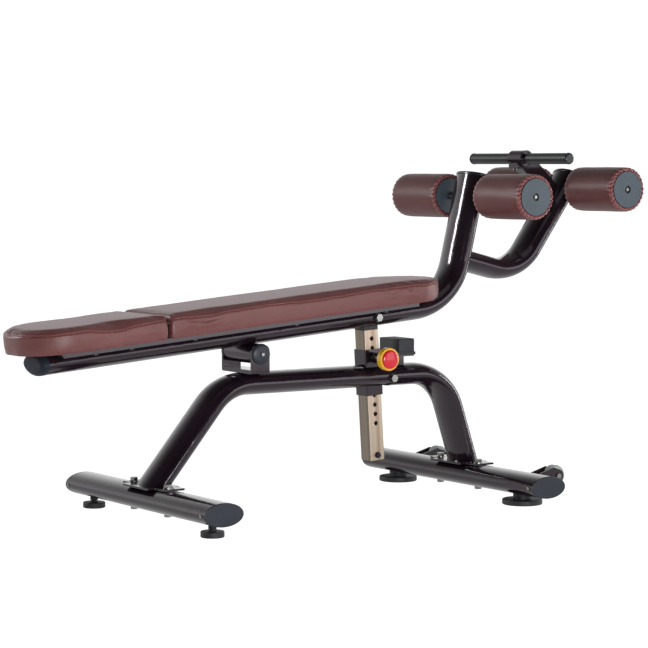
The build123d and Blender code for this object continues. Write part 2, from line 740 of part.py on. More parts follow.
with BuildPart() as beam_end_cap:
    oval_cap(beam_front, 180 + bench_slope, CAP_DOME)
    fillet(beam_end_cap.faces().sort_by(Axis.X)[0].edges(), 14)
save(beam_end_cap, "beam_end_cap")

with BuildPart() as arm_end_caps:
    oval_cap(upright_top, upright_angle, 5)
    oval_cap(arm_top, arm_angle, 5)
save(arm_end_caps, "arm_end_caps")

with BuildPart() as rear_arm_tube:
    with BuildSketch(section_plane(arm_path)):
        oval(tube_w, tube_t)
    sweep(path=arm_path)
    with BuildSketch(Plane(origin=(beam_knee[0], 0, beam_knee[1]), x_dir=(0, 1, 0),
                           z_dir=(cos(upright_angle), 0, sin(upright_angle)))):
        Ellipse(tube_w / 2, tube_t / 2)
    extrude(amount=upright_len, mode=Mode.SUBTRACT)
    cross_cylinder(rear_axle[0], rear_axle[1], 11.0, tube_w, -tube_w, Mode.SUBTRACT)
save(rear_arm_tube, "rear_arm_tube")

HINGE_BARREL_R = 26.0
BUSH_R = 13.0

with BuildPart() as hinge_barrel:
    cross_cylinder(pivot_x, pivot_z, HINGE_BARREL_R, 64, -64)
    cross_cylinder(pivot_x, pivot_z, BUSH_R, 80, -80, Mode.SUBTRACT)
    add(bench_solid, mode=Mode.SUBTRACT)
save(hinge_barrel, "hinge_barrel")

with BuildPart() as hinge_bushes:
    for outward in (1, -1):
        inner, face, flange = outward * 40, outward * 64, outward * 65.6
        cross_cylinder(pivot_x, pivot_z, BUSH_R, max(inner, face), min(inner, face))
        cross_cylinder(pivot_x, pivot_z, 17.5, max(flange, face), min(flange, face))
    cross_cylinder(pivot_x, pivot_z, PIN_R + RUN, 90, -90, Mode.SUBTRACT)
save(hinge_bushes, "hinge_bushes")

pad_base = beam_offset + pad_lift       # pad's underside, above the hinge axis
RAIL_T = 12.0
RAIL_W = 30.0
RAIL_Y = 90.0
RAIL_S = (-571.0, 480.0)
STRAP_S = (-520.0, -340.0, -150.0, 130.0, 430.0)
SCREW_S = (-480.0, -380.0, -200.0, 100.0, 380.0)
PAD_SCREW_R = 4.0


def bench_plane(w):
    """A plane along the bench, w above the hinge axis."""
    x, z = bench(0, w)
    return Plane(origin=(x, 0, z), x_dir=(cos(bench_slope), 0, sin(bench_slope)),
                 z_dir=(-sin(bench_slope), 0, cos(bench_slope)))


def screw_places():
    return [(s, y) for s in SCREW_S for y in (RAIL_Y, -RAIL_Y)]


with BuildPart() as pad_rails:
    with BuildSketch(bench_plane(pad_base - RAIL_T)):
        for y in (RAIL_Y, -RAIL_Y):
            with Locations(((RAIL_S[0] + RAIL_S[1]) / 2, y)):
                Rectangle(RAIL_S[1] - RAIL_S[0], RAIL_W)
    extrude(amount=RAIL_T)
    with BuildSketch(bench_plane(pad_base - RAIL_T)):
        for s in STRAP_S:
            with Locations((s, 0)):
                Rectangle(40, 2 * RAIL_Y)
    extrude(amount=6)
    add(bench_solid, mode=Mode.SUBTRACT)
    with BuildSketch(bench_plane(pad_base - RAIL_T)):
        with Locations(*screw_places()):
            Circle(PAD_SCREW_R + 0.3)
    extrude(amount=RAIL_T, mode=Mode.SUBTRACT)
save(pad_rails, "pad_rails")


def pad_outline(s_from, s_to, round_front, round_back, inset=0.0):
    """Plan of a pad: square corners where pads meet, round ones at the free ends."""
    low, high = s_from + inset, s_to - inset
    half = pad_w / 2 - inset
    with BuildSketch(mode=Mode.PRIVATE) as outline:
        with Locations(((low + high) / 2, 0)):
            Rectangle(high - low, 2 * half)
        corners = outline.vertices().group_by(Axis.X)
        fillet(corners[0], (pad_corner_r if round_front else 14) - inset)
        corners = outline.vertices().filter_by(lambda v: v.X > high - 1)
        fillet(corners, (pad_corner_r if round_back else 14) - inset)
    return outline.sketch


def pad(s_range, round_front, round_back):
    """A plain pad: an upright side, a bevel to the top, a recess for its board underneath."""
    with BuildSketch(bench_plane(pad_base)) as plan:
        add(pad_outline(*s_range, round_front, round_back))
    extrude(plan.sketch, amount=pad_side)
    with BuildSketch(bench_plane(pad_base + pad_side)) as shoulder:
        add(pad_outline(*s_range, round_front, round_back))
    taper = math.degrees(math.atan2(pad_bevel, pad_t - pad_side))
    extrude(shoulder.sketch, amount=pad_t - pad_side, taper=taper)
    with BuildSketch(bench_plane(pad_base)) as recess:
        add(pad_outline(*s_range, round_front, round_back, board_inset - GAP))
    extrude(recess.sketch, amount=board_t + GAP, mode=Mode.SUBTRACT)


with BuildPart() as head_pad:
    pad(head_pad_s, True, False)
save(head_pad, "head_pad")

with BuildPart() as back_pad:
    pad(back_pad_s, False, True)
    add(bench_grown, mode=Mode.SUBTRACT)
save(back_pad, "back_pad")

BOARD_END = 545.0           # the back pad's board stops short of the beam's bend

with BuildPart() as pad_boards:
    with BuildSketch(bench_plane(pad_base)):
        add(pad_outline(*head_pad_s, True, False, board_inset))
        add(pad_outline(*back_pad_s, False, True, board_inset))
        with Locations((BOARD_END + 60, 0)):
            Rectangle(120, pad_w, mode=Mode.SUBTRACT)
    extrude(amount=board_t)
    with BuildSketch(bench_plane(pad_base)):
        with Locations(*screw_places()):
            Circle(PAD_SCREW_R + 0.1)
    extrude(amount=10, mode=Mode.SUBTRACT)
    add(bench_grown, mode=Mode.SUBTRACT)
save(pad_boards, "pad_boards")

with BuildPart() as pad_screws:
    with BuildSketch(bench_plane(pad_base - RAIL_T)):
        with Locations(*screw_places()):
            Circle(8)
    extrude(amount=-4.5)
    with BuildSketch(bench_plane(pad_base - RAIL_T)):
        with Locations(*screw_places()):
            Circle(PAD_SCREW_R)
    extrude(amount=RAIL_T + 9)
save(pad_screws, "pad_screws")

with BuildPart() as post_pivot_bolt:
    bolt_through(*post_pivot, tube_w / 2 + 0.2)
    nut_and_washers(*post_pivot, tube_w / 2 + 0.2)
save(post_pivot_bolt, "post_pivot_bolt")

AXLE_BODY_R = 10.8
axle_end = roller_out - disc_t - 2.5
BOLT_WASHER_T = 1.5

with BuildPart() as roller_axles:
    for x, z in (front_axle, rear_axle):
        cross_cylinder(x, z, AXLE_BODY_R, roller_in - 0.8, 0.8 - roller_in)
        cross_cylinder(x, z, axle_r, axle_end, -axle_end)
        cross_cylinder(x, z, 3.0, axle_end, axle_end - 20, Mode.SUBTRACT)
        cross_cylinder(x, z, 3.0, 20 - axle_end, -axle_end, Mode.SUBTRACT)
save(roller_axles, "roller_axles")

with BuildPart() as roller_axle_bolts:
    for x, z in (front_axle, rear_axle):
        for outward in (1, -1):
            washer, head = outward * axle_end, outward * (axle_end + BOLT_WASHER_T)
            top, tip = outward * (axle_end + BOLT_WASHER_T + 4.5), outward * (axle_end - 18)
            cross_cylinder(x, z, 9.8, max(washer, head), min(washer, head))
            cross_cylinder(x, z, 4.4, max(head, top), min(head, top))
            cross_cylinder(x, z, 3.0, max(tip, washer), min(tip, washer))
save(roller_axle_bolts, "roller_axle_bolts")

FOAM_END = 1.5              # leather's rounded end, inside the disc's outer face
SPOOL_R = 14.0
roller_mid = (roller_in + roller_out) / 2
roller_half = (roller_out - roller_in) / 2


def roller_pad(x, z, side):
    """Foam roller with a shallow seat for a disc in each end."""
    low = side * roller_mid - roller_half + FOAM_END
    high = side * roller_mid + roller_half - FOAM_END
    cross_cylinder(x, z, roller_r, high, low)
    seat = disc_t - FOAM_END + GAP
    for face, inner in ((high, high - seat), (low, low + seat)):
        cross_cylinder(x, z, disc_r + GAP, max(face, inner), min(face, inner), Mode.SUBTRACT)
    cross_cylinder(x, z, SPOOL_R + GAP, high, low, Mode.SUBTRACT)


def roller_hub(x, z, side):
    """Two end discs, each with half of the spool that runs on the axle."""
    for outward in (1, -1):
        middle = side * roller_mid + outward * 0.1
        face = side * roller_mid + outward * roller_half
        back = face - outward * disc_t
        cross_cylinder(x, z, disc_r, max(face, back), min(face, back))
        cross_cylinder(x, z, SPOOL_R, max(back, middle), min(back, middle))
    low, high = side * roller_mid - roller_half, side * roller_mid + roller_half
    cross_cylinder(x, z, axle_r + RUN, high, low, Mode.SUBTRACT)
    outer = side * roller_out
    pocket = side * (axle_end - 0.1)
    cross_cylinder(x, z, 10.2, max(outer, pocket), min(outer, pocket), Mode.SUBTRACT)


for place, (axle_x, axle_z) in (("front", front_axle), ("rear", rear_axle)):
    for hand, side in (("left", -1), ("right", 1)):
        with BuildPart() as foam:
            roller_pad(axle_x, axle_z, side)
            fillet(foam.edges().filter_by(
                lambda edge: edge.length > 2 * math.pi * (roller_r - 1)), 8)
        save(foam, f"roller_pad_{place}_{hand}")
        with BuildPart() as hub:
            roller_hub(axle_x, axle_z, side)
        save(hub, f"roller_hub_{place}_{hand}")

# Handle: a bar in a clamp tube, held by a narrow channel bracket on the front of the rear arm.
CLAMP_R = 23.0
CLAMP_HALF = 30.0
BRACKET_HALF = 18.0
BRACKET_T = 5.0
BRACKET_NOSE = handle_x - 26.0
CLAMP_BOLT_X = handle_x - 16.0
CLAMP_BOLT_R = 4.0
bracket_floor = handle_z - 27.0         # underside of the bracket's nose
arm_face = step(rear_axle, arm_angle + 90, tube_t / 2)
arm_solid = solid_oval(arm_path)

with BuildPart() as handle_bracket:
    low_face = step(arm_face, arm_angle + 180, 62)
    with BuildSketch(Plane.XZ) as profile:
        with BuildLine():
            Polyline((BRACKET_NOSE, handle_z - 12), (handle_x + 50, handle_z - 12),
                     (arm_face[0] + 10, arm_face[1] - 18), (low_face[0] + 22, low_face[1]),
                     (handle_x + 16, handle_z - 46), (handle_x - 7, bracket_floor),
                     (BRACKET_NOSE, bracket_floor), close=True)
        make_face()
    extrude(amount=BRACKET_HALF, both=True)
    with BuildSketch(Plane.XZ):
        with BuildLine():
            Polyline((BRACKET_NOSE + BRACKET_T, handle_z + 20), (arm_face[0] + 60, handle_z + 20),
                     (low_face[0] + 60, low_face[1] + 5), (handle_x + 16, handle_z - 41),
                     (handle_x - 5, bracket_floor + BRACKET_T),
                     (BRACKET_NOSE + BRACKET_T, bracket_floor + BRACKET_T), close=True)
        make_face()
    extrude(amount=BRACKET_HALF - BRACKET_T, both=True, mode=Mode.SUBTRACT)
    add(arm_solid, mode=Mode.SUBTRACT)
    cross_cylinder(handle_x, handle_z, CLAMP_R, 60, -60, Mode.SUBTRACT)
    upright_cylinder(CLAMP_BOLT_X, 0, CLAMP_BOLT_R + 0.1, bracket_floor - 5, handle_z, Mode.SUBTRACT)
save(handle_bracket, "handle_bracket")

with BuildPart() as handle_clamp:
    cross_cylinder(handle_x, handle_z, CLAMP_R, CLAMP_HALF, -CLAMP_HALF)
    chamfer(handle_clamp.edges(), 1.5)
    cross_cylinder(handle_x, handle_z, handle_r + RUN, 60, -60, Mode.SUBTRACT)
    for outward in (1, -1):
        mouth, seat = outward * (CLAMP_HALF + 1), outward * (CLAMP_HALF - 4)
        cross_cylinder(handle_x, handle_z, 18, max(mouth, seat), min(mouth, seat), Mode.SUBTRACT)
    upright_cylinder(CLAMP_BOLT_X, 0, CLAMP_BOLT_R + 0.1, handle_z - 30, handle_z - 6, Mode.SUBTRACT)
save(handle_clamp, "handle_clamp")

with BuildPart() as handle_bolt:
    upright_cylinder(CLAMP_BOLT_X, 0, CLAMP_BOLT_R, bracket_floor, handle_z - 7)
    upright_hexagon(CLAMP_BOLT_X, 0, 12, bracket_floor - 5.5, bracket_floor)
save(handle_bolt, "handle_bolt")

with BuildPart() as handle_bar:
    cross_cylinder(handle_x, handle_z, handle_r, handle_half - 8, 8 - handle_half)
save(handle_bar, "handle_bar")

GRIP_IN = 38.0

with BuildPart() as handle_grips:
    for low, high in ((GRIP_IN, handle_half - 8), (8 - handle_half, -GRIP_IN)):
        cross_cylinder(handle_x, handle_z, grip_r, high, low)
    fillet(handle_grips.edges(), 1.2)
    cross_cylinder(handle_x, handle_z, handle_r + 0.1, 300, -300, Mode.SUBTRACT)
save(handle_grips, "handle_grips")

with BuildPart() as grip_end_caps:
    for outward in (1, -1):
        seat, end = outward * (handle_half - 8), outward * handle_half
        cross_cylinder(handle_x, handle_z, grip_r + 0.8, max(seat, end), min(seat, end))
    fillet(grip_end_caps.edges().filter_by(
        lambda edge: abs(abs(edge.center().Y) - handle_half) < 0.1), 6)
save(grip_end_caps, "grip_end_caps")
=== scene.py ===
import bpy
import bmesh
import json
import math
import random
from mathutils import Matrix, Vector
from mathutils.bvhtree import BVHTree


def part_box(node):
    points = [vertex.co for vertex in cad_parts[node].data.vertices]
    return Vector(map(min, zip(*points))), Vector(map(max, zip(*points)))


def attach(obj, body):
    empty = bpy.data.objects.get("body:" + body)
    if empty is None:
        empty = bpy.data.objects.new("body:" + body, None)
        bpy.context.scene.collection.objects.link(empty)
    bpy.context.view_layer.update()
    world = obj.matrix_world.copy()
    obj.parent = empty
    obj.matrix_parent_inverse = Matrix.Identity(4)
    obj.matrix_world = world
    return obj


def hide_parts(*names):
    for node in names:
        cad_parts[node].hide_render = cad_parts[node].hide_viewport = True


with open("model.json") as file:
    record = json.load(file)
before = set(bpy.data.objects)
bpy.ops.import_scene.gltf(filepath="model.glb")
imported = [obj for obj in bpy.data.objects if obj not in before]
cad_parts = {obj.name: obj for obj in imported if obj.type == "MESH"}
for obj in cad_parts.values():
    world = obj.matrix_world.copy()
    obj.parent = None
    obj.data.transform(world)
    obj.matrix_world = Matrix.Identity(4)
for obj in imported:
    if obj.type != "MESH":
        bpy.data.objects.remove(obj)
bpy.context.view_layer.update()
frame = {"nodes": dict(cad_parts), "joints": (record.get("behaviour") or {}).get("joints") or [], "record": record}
scene = bpy.context.scene
nodes = frame["nodes"]
joints = {joint["name"]: joint for joint in frame["joints"]}
MM = 0.001

# ---- camera ----
YAW = math.radians(34.0758)
PITCH = math.radians(3.8846)
camera_data = bpy.data.cameras.new("camera")
camera_data.sensor_width = 36.0
camera_data.lens = 130.2474
camera = bpy.data.objects.new("camera", camera_data)
camera.location = (-3.388887, -5.049172, 0.88825)
camera.rotation_euler = (math.pi / 2 - PITCH, 0, -YAW)
scene.collection.objects.link(camera)
scene.camera = camera
scene.view_settings.view_transform = "Standard"


# ---- studio ----
def soft_box(name, place, aim, width, height, radiance, tint=(1, 1, 1)):
    """A rectangular light that faces a point; radiance is the brightness of its face."""
    data = bpy.data.lights.new(name, "AREA")
    data.shape = "RECTANGLE"
    data.size = width
    data.size_y = height
    data.energy = radiance * math.pi * width * height
    data.color = tint
    light = bpy.data.objects.new(name, data)
    light.location = place
    light.rotation_euler = (Vector(aim) - Vector(place)).to_track_quat("-Z", "Y").to_euler()
    light.visible_camera = False
    scene.collection.objects.link(light)


soft_box("strip_left", (-3.95, 3.74, 2.30), (0.5, 0, 0.70), 0.75, 1.60, 26.0)
soft_box("strip_right", (2.75, -0.55, 0.75), (0.6, 0, 0.6), 0.12, 1.7, 22.0)
soft_box("front_right", (1.75, -2.90, 0.98), (0.1, 0, 0.5), 2.1, 1.8, 1.8)
soft_box("front_low", (-1.00, -4.20, 0.55), (0.0, 0, 0.60), 2.4, 1.4, 8.6)
soft_box("front_left", (-3.30, -2.20, 1.30), (-0.3, 0, 0.5), 0.7, 1.4, 0.9)
soft_box("overhead", (0.3, -0.4, 3.2), (0.1, 0, 0.4), 2.4, 1.6, 0.35)


def studio_world():
    """A white cyclorama behind the object, fading to a dark studio overhead and in front."""
    world = bpy.data.worlds.new("studio")
    world.use_nodes = True
    scene.world = world
    tree = world.node_tree
    tree.nodes.clear()
    place = tree.nodes.new("ShaderNodeTexCoord")
    behind = tree.nodes.new("ShaderNodeVectorMath")
    behind.operation = "DOT_PRODUCT"
    behind.inputs[1].default_value = (math.sin(YAW), math.cos(YAW), 0)
    tree.links.new(place.outputs["Generated"], behind.inputs[0])
    split = tree.nodes.new("ShaderNodeSeparateXYZ")
    tree.links.new(place.outputs["Generated"], split.inputs[0])
    across = tree.nodes.new("ShaderNodeMapRange")
    across.interpolation_type = "SMOOTHSTEP"
    for index, value in enumerate((-0.25, 0.50, 0.05, 1.0), 1):
        across.inputs[index].default_value = value
    tree.links.new(behind.outputs["Value"], across.inputs[0])
    upward = tree.nodes.new("ShaderNodeMapRange")
    upward.interpolation_type = "SMOOTHSTEP"
    for index, value in enumerate((0.24, 0.74, 1.0, 0.11), 1):
        upward.inputs[index].default_value = value
    tree.links.new(split.outputs["Z"], upward.inputs[0])
    level = tree.nodes.new("ShaderNodeMath")
    level.operation = "MULTIPLY"
    tree.links.new(across.outputs[0], level.inputs[0])
    tree.links.new(upward.outputs[0], level.inputs[1])
    studio = tree.nodes.new("ShaderNodeBackground")
    tree.links.new(level.outputs[0], studio.inputs["Strength"])
    studio.inputs["Color"].default_value = (1, 1, 1, 1)
    backdrop = tree.nodes.new("ShaderNodeBackground")
    backdrop.inputs["Strength"].default_value = 1.05
    backdrop.inputs["Color"].default_value = (1, 1, 1, 1)
    light_path = tree.nodes.new("ShaderNodeLightPath")
    choice = tree.nodes.new("ShaderNodeMixShader")
    tree.links.new(light_path.outputs["Is Camera Ray"], choice.inputs[0])
    tree.links.new(studio.outputs[0], choice.inputs[1])
    tree.links.new(backdrop.outputs[0], choice.inputs[2])
    output = tree.nodes.new("ShaderNodeOutputWorld")
    tree.links.new(choice.outputs[0], output.inputs[0])


studio_world()


# ---- materials ----
class Finish:
    """A Principled material with short calls for the nodes that feed it."""

    def __init__(self, name, **sockets):
        self.material = bpy.data.materials.new(name)
        self.material.use_nodes = True
        self.tree = self.material.node_tree
        self.shader = self.tree.nodes["Principled BSDF"]
        self.place = self.tree.nodes.new("ShaderNodeTexCoord").outputs["Object"]
        for socket, value in sockets.items():
            title = socket.replace("_", " ").title().replace("Ior", "IOR")
            self.give(self.shader.inputs[title], value)

    def give(self, socket, value):
        if isinstance(value, bpy.types.NodeSocket):
            self.tree.links.new(value, socket)
        elif socket.type == "RGBA" and len(value) == 3:
            socket.default_value = (*value, 1)
        else:
            socket.default_value = value

    def node(self, kind, sockets, output=0, **settings):
        made = self.tree.nodes.new("ShaderNode" + kind)
        for name, value in settings.items():
            setattr(made, name, value)
        for name, value in sockets.items():
            self.give(made.inputs[name], value)
        return made.outputs[output]

    def stretched(self, scale, turn=(0, 0, 0)):
        """Object coordinates turned, then scaled along each axis."""
        turned = self.node("Mapping", {"Vector": self.place, "Rotation": turn})
        return self.node("Mapping", {"Vector": turned, "Scale": scale})

    def noise(self, scale, detail=3.0, roughness=0.5, vector=None, distortion=0.0):
        return self.node("TexNoise", {"Vector": vector or self.place, "Scale": scale,
                                      "Detail": detail, "Roughness": roughness,
                                      "Distortion": distortion})

    def cells(self, scale, feature="F1", vector=None):
        return self.node("TexVoronoi", {"Vector": vector or self.place, "Scale": scale},
                         feature=feature)

    def spread(self, value, low, high, new_low, new_high):
        return self.node("MapRange", {0: value, 1: low, 2: high, 3: new_low, 4: new_high})

    def tones(self, value, *stops):
        """A colour ramp from (place, colour) stops."""
        made = self.tree.nodes.new("ShaderNodeValToRGB")
        self.tree.links.new(value, made.inputs[0])
        elements = made.color_ramp.elements
        while len(elements) < len(stops):
            elements.new(0.5)
        for element, (place, colour) in zip(elements, stops):
            element.position = place
            element.color = (*colour, 1)
        return made.outputs[0]

    def blend(self, share, one, two, mode="MIX"):
        made = self.tree.nodes.new("ShaderNodeMix")
        made.data_type = "RGBA"
        made.blend_type = mode
        self.give(made.inputs[0], share)
        self.give(made.inputs[6], one)
        self.give(made.inputs[7], two)
        return made.outputs[2]

    def maths(self, operation, one, two=0.0):
        return self.node("Math", {0: one, 1: two}, operation=operation)

    def relief(self, height, strength, distance, under=None):
        sockets = {"Height": height, "Strength": strength, "Distance": distance}
        if under:
            sockets["Normal"] = under
        return self.node("Bump", sockets)

    def soft_edges(self, radius):
        """A normal that rounds sharp edges."""
        return self.node("Bevel", {"Radius": radius}, samples=4)

    def edge_share(self, radius):
        """0 on faces, rising to 1 along edges."""
        geometry = self.tree.nodes.new("ShaderNodeNewGeometry")
        rounded = self.soft_edges(radius)
        facing = self.node("VectorMath", {0: rounded, 1: geometry.outputs["Normal"]}, 1,
                           operation="DOT_PRODUCT")
        return self.spread(facing, 0.995, 0.86, 0.0, 1.0)

    def finish(self, colour, roughness, normal):
        self.give(self.shader.inputs["Base Color"], colour)
        self.give(self.shader.inputs["Roughness"], roughness)
        self.give(self.shader.inputs["Normal"], normal)
        return self.material


def gloss_paint(name, edges):
    """Near-black plum enamel with faint orange peel; edges asks for rounded rims painted lighter, partly as thin
    paint and partly as a painted highlight.
    """
    paint = Finish(name, specular_tint=(1.0, 0.90, 1.0), coat_weight=0.35, coat_roughness=0.03)
    drift = paint.noise(9, 4, 0.6)
    colour = paint.tones(drift, (0.30, (0.0115, 0.0062, 0.0098)),
                         (0.72, (0.0175, 0.0098, 0.0155)))
    specks = paint.noise(900, 1)
    colour = paint.blend(paint.spread(specks, 0.62, 0.75, 0.0, 0.35), colour,
                         (0.045, 0.028, 0.042))
    peel = paint.noise(330, 2)
    waves = paint.noise(45, 2)
    roughness = paint.spread(paint.noise(38, 4, 0.6), 0.3, 0.75, 0.09, 0.17)
    if edges:
        # rims painted lighter: partly thin paint, partly a painted highlight where the rounded edges catch light
        rim = paint.edge_share(1.2 * MM)
        colour = paint.blend(rim, colour, (0.04, 0.027, 0.038))
        under = paint.soft_edges(1.3 * MM)
    else:
        under = None
    normal = paint.relief(waves, 0.05, 0.6 * MM, under)
    normal = paint.relief(peel, 0.06, 0.15 * MM, normal)
    return paint.finish(colour, roughness, normal)


def upholstery(name, tint=1.0, haze=0.20, gloss=0.60):
    """Brown-maroon grained leatherette: pebbled cells with creases between them."""
    leather = Finish(name, specular_ior_level=gloss, sheen_weight=haze, sheen_roughness=0.4,
                     sheen_tint=(0.93, 0.76, 0.80))
    wander = leather.noise(160, 2)
    bent = leather.node("VectorMath", {0: leather.place, 1: leather.node(
        "VectorMath", {0: leather.node("TexNoise", {"Vector": leather.place, "Scale": 240.0}, 1),
                       "Scale": 1.1 * MM}, operation="SCALE")}, operation="ADD")
    pebbles = leather.cells(620, "DISTANCE_TO_EDGE", bent)
    fine = leather.noise(1500, 3, 0.6)
    crease = leather.spread(pebbles, 0.0, 0.16, 1.0, 0.0)
    patches = leather.noise(7, 4, 0.6)
    base = leather.tones(patches, (0.28, tuple(tint * c for c in (0.174, 0.050, 0.049))),
                         (0.74, tuple(tint * c for c in (0.224, 0.067, 0.065))))
    base = leather.blend(leather.spread(wander, 0.35, 0.8, 0.0, 0.30), base,
                         tuple(tint * c for c in (0.256, 0.082, 0.079)))
    # painted shade: the colour is darkened in the creases between the pebbles
    colour = leather.blend(leather.maths("MULTIPLY", crease, 0.55), base,
                           tuple(tint * c for c in (0.085, 0.022, 0.018)))
    roughness = leather.spread(leather.maths("ADD", fine, crease), 0.3, 1.5, 0.33, 0.46)
    normal = leather.relief(crease, 0.35, -0.12 * MM)
    normal = leather.relief(fine, 0.16, 0.06 * MM, normal)
    return leather.finish(colour, roughness, normal)


def thread():
    """Twisted polyester thread."""
    cord = Finish("thread", specular_ior_level=0.35)
    twist = cord.node("TexWave", {"Vector": cord.place, "Scale": 900.0, "Distortion": 2.0})
    colour = cord.tones(twist, (0.2, (0.035, 0.012, 0.011)), (0.9, (0.085, 0.034, 0.030)))
    return cord.finish(colour, 0.6, cord.relief(twist, 0.5, 0.08 * MM))


def moulding(name, dark, light, roughness, edges, texture=1100, relief=0.10, **sockets):
    """Moulded plastic or rubber: fine spark texture, slow colour drift, rims painted lighter, partly as wear and
    partly as a painted highlight.
    """
    plastic = Finish(name, **sockets)
    drift = plastic.noise(22, 4, 0.6)
    colour = plastic.tones(drift, (0.3, dark), (0.75, light))
    grain = plastic.noise(texture, 3, 0.6)
    uneven = plastic.spread(plastic.noise(75, 4, 0.6), 0.3, 0.75,
                            roughness * 0.88, roughness * 1.15)
    under = None
    if edges:
        # rims painted lighter: partly wear, partly a painted highlight where the rounded edges catch light
        rim = plastic.edge_share(edges)
        colour = plastic.blend(plastic.maths("MULTIPLY", rim, 0.5), colour,
                               tuple(min(1, c * 1.9 + 0.008) for c in light))
        under = plastic.soft_edges(edges)
    return plastic.finish(colour, uneven, plastic.relief(grain, relief, 0.08 * MM, under))


def plated(name, dark, light, roughness, edges=0.5 * MM):
    """Zinc or oxide on steel: cloudy passivation, fine turning marks, rims painted brighter, partly as wear and
    partly as a painted highlight.
    """
    steel = Finish(name, metallic=1.0)
    clouds = steel.noise(120, 4, 0.65)
    colour = steel.tones(clouds, (0.28, dark), (0.72, light))
    marks = steel.noise(1.0, 2, vector=steel.stretched((2200, 180, 2200)))
    # rims painted brighter: partly wear, partly a painted highlight where the rounded edges catch light
    rim = steel.edge_share(edges)
    colour = steel.blend(rim, colour, tuple(min(1, c * 1.15) for c in light))
    uneven = steel.spread(steel.noise(260, 3), 0.3, 0.75, roughness * 0.8, roughness * 1.3)
    normal = steel.relief(marks, 0.08, 0.05 * MM, steel.soft_edges(edges))
    return steel.finish(colour, uneven, normal)


def champagne_post():
    """Champagne plate brushed along the post, with darker runs where the sleeve has rubbed,
    and a painted shade that darkens the face towards the bench's head end."""
    axis = Vector(joints["post_slide"]["axis"])
    tilt = math.atan2(-axis.x, axis.z)
    metal = Finish("champagne_plate", metallic=0.75, specular_ior_level=0.5, anisotropic=0.45)
    along = metal.stretched((420, 420, 3.0), (0, tilt, 0))
    wide = metal.stretched((95, 95, 1.1), (0, tilt, 0))
    grain = metal.noise(1.0, 4, 0.6, along)
    streaks = metal.noise(1.0, 3, 0.6, wide)
    colour = metal.tones(streaks, (0.30, (0.40, 0.29, 0.21)), (0.52, (0.58, 0.46, 0.36)),
                         (0.78, (0.68, 0.57, 0.46)))
    colour = metal.blend(metal.spread(grain, 0.35, 0.7, 0.0, 0.35), colour, (0.38, 0.30, 0.24))
    # painted shade: faces turned towards the bench's head end (negative x) are multiplied darker
    geometry = metal.tree.nodes.new("ShaderNodeNewGeometry")
    facing = metal.node("SeparateXYZ", {0: geometry.outputs["Normal"]})
    front = metal.spread(facing, -0.9, -0.5, 0.85, 0.0)
    colour = metal.blend(front, colour, (0.50, 0.54, 0.56), "MULTIPLY")
    # rims painted lighter: partly wear, partly a painted highlight where the rounded edges catch light
    rim = metal.edge_share(0.8 * MM)
    colour = metal.blend(metal.maths("MULTIPLY", rim, 0.6), colour, (0.80, 0.73, 0.64))
    roughness = metal.spread(grain, 0.3, 0.7, 0.30, 0.46)
    normal = metal.relief(grain, 0.12, 0.10 * MM, metal.soft_edges(0.8 * MM))
    return metal.finish(colour, roughness, normal)


def plywood():
    """Plywood coloured dark: long grain on the faces."""
    wood = Finish("plywood", specular_ior_level=0.3)
    grain = wood.noise(1.0, 5, 0.65, wood.stretched((6, 140, 900)), 0.6)
    colour = wood.tones(grain, (0.30, (0.022, 0.016, 0.013)), (0.55, (0.038, 0.029, 0.022)),
                        (0.80, (0.052, 0.040, 0.031)))
    return wood.finish(colour, 0.72, wood.relief(grain, 0.25, 0.2 * MM))


def cast_wheel():
    """Grey-green polyurethane, slightly translucent, with scuffs round the tread."""
    wheel = Finish("wheel_plastic", subsurface_weight=0.25,
                   subsurface_radius=(0.012, 0.014, 0.012))
    scuffs = wheel.noise(140, 5, 0.7)
    colour = wheel.tones(scuffs, (0.32, (0.30, 0.35, 0.33)), (0.60, (0.48, 0.54, 0.51)),
                         (0.80, (0.57, 0.62, 0.59)))
    return wheel.finish(colour, wheel.spread(scuffs, 0.3, 0.7, 0.24, 0.42),
                        wheel.relief(scuffs, 0.08, 0.1 * MM, wheel.soft_edges(1.0 * MM)))


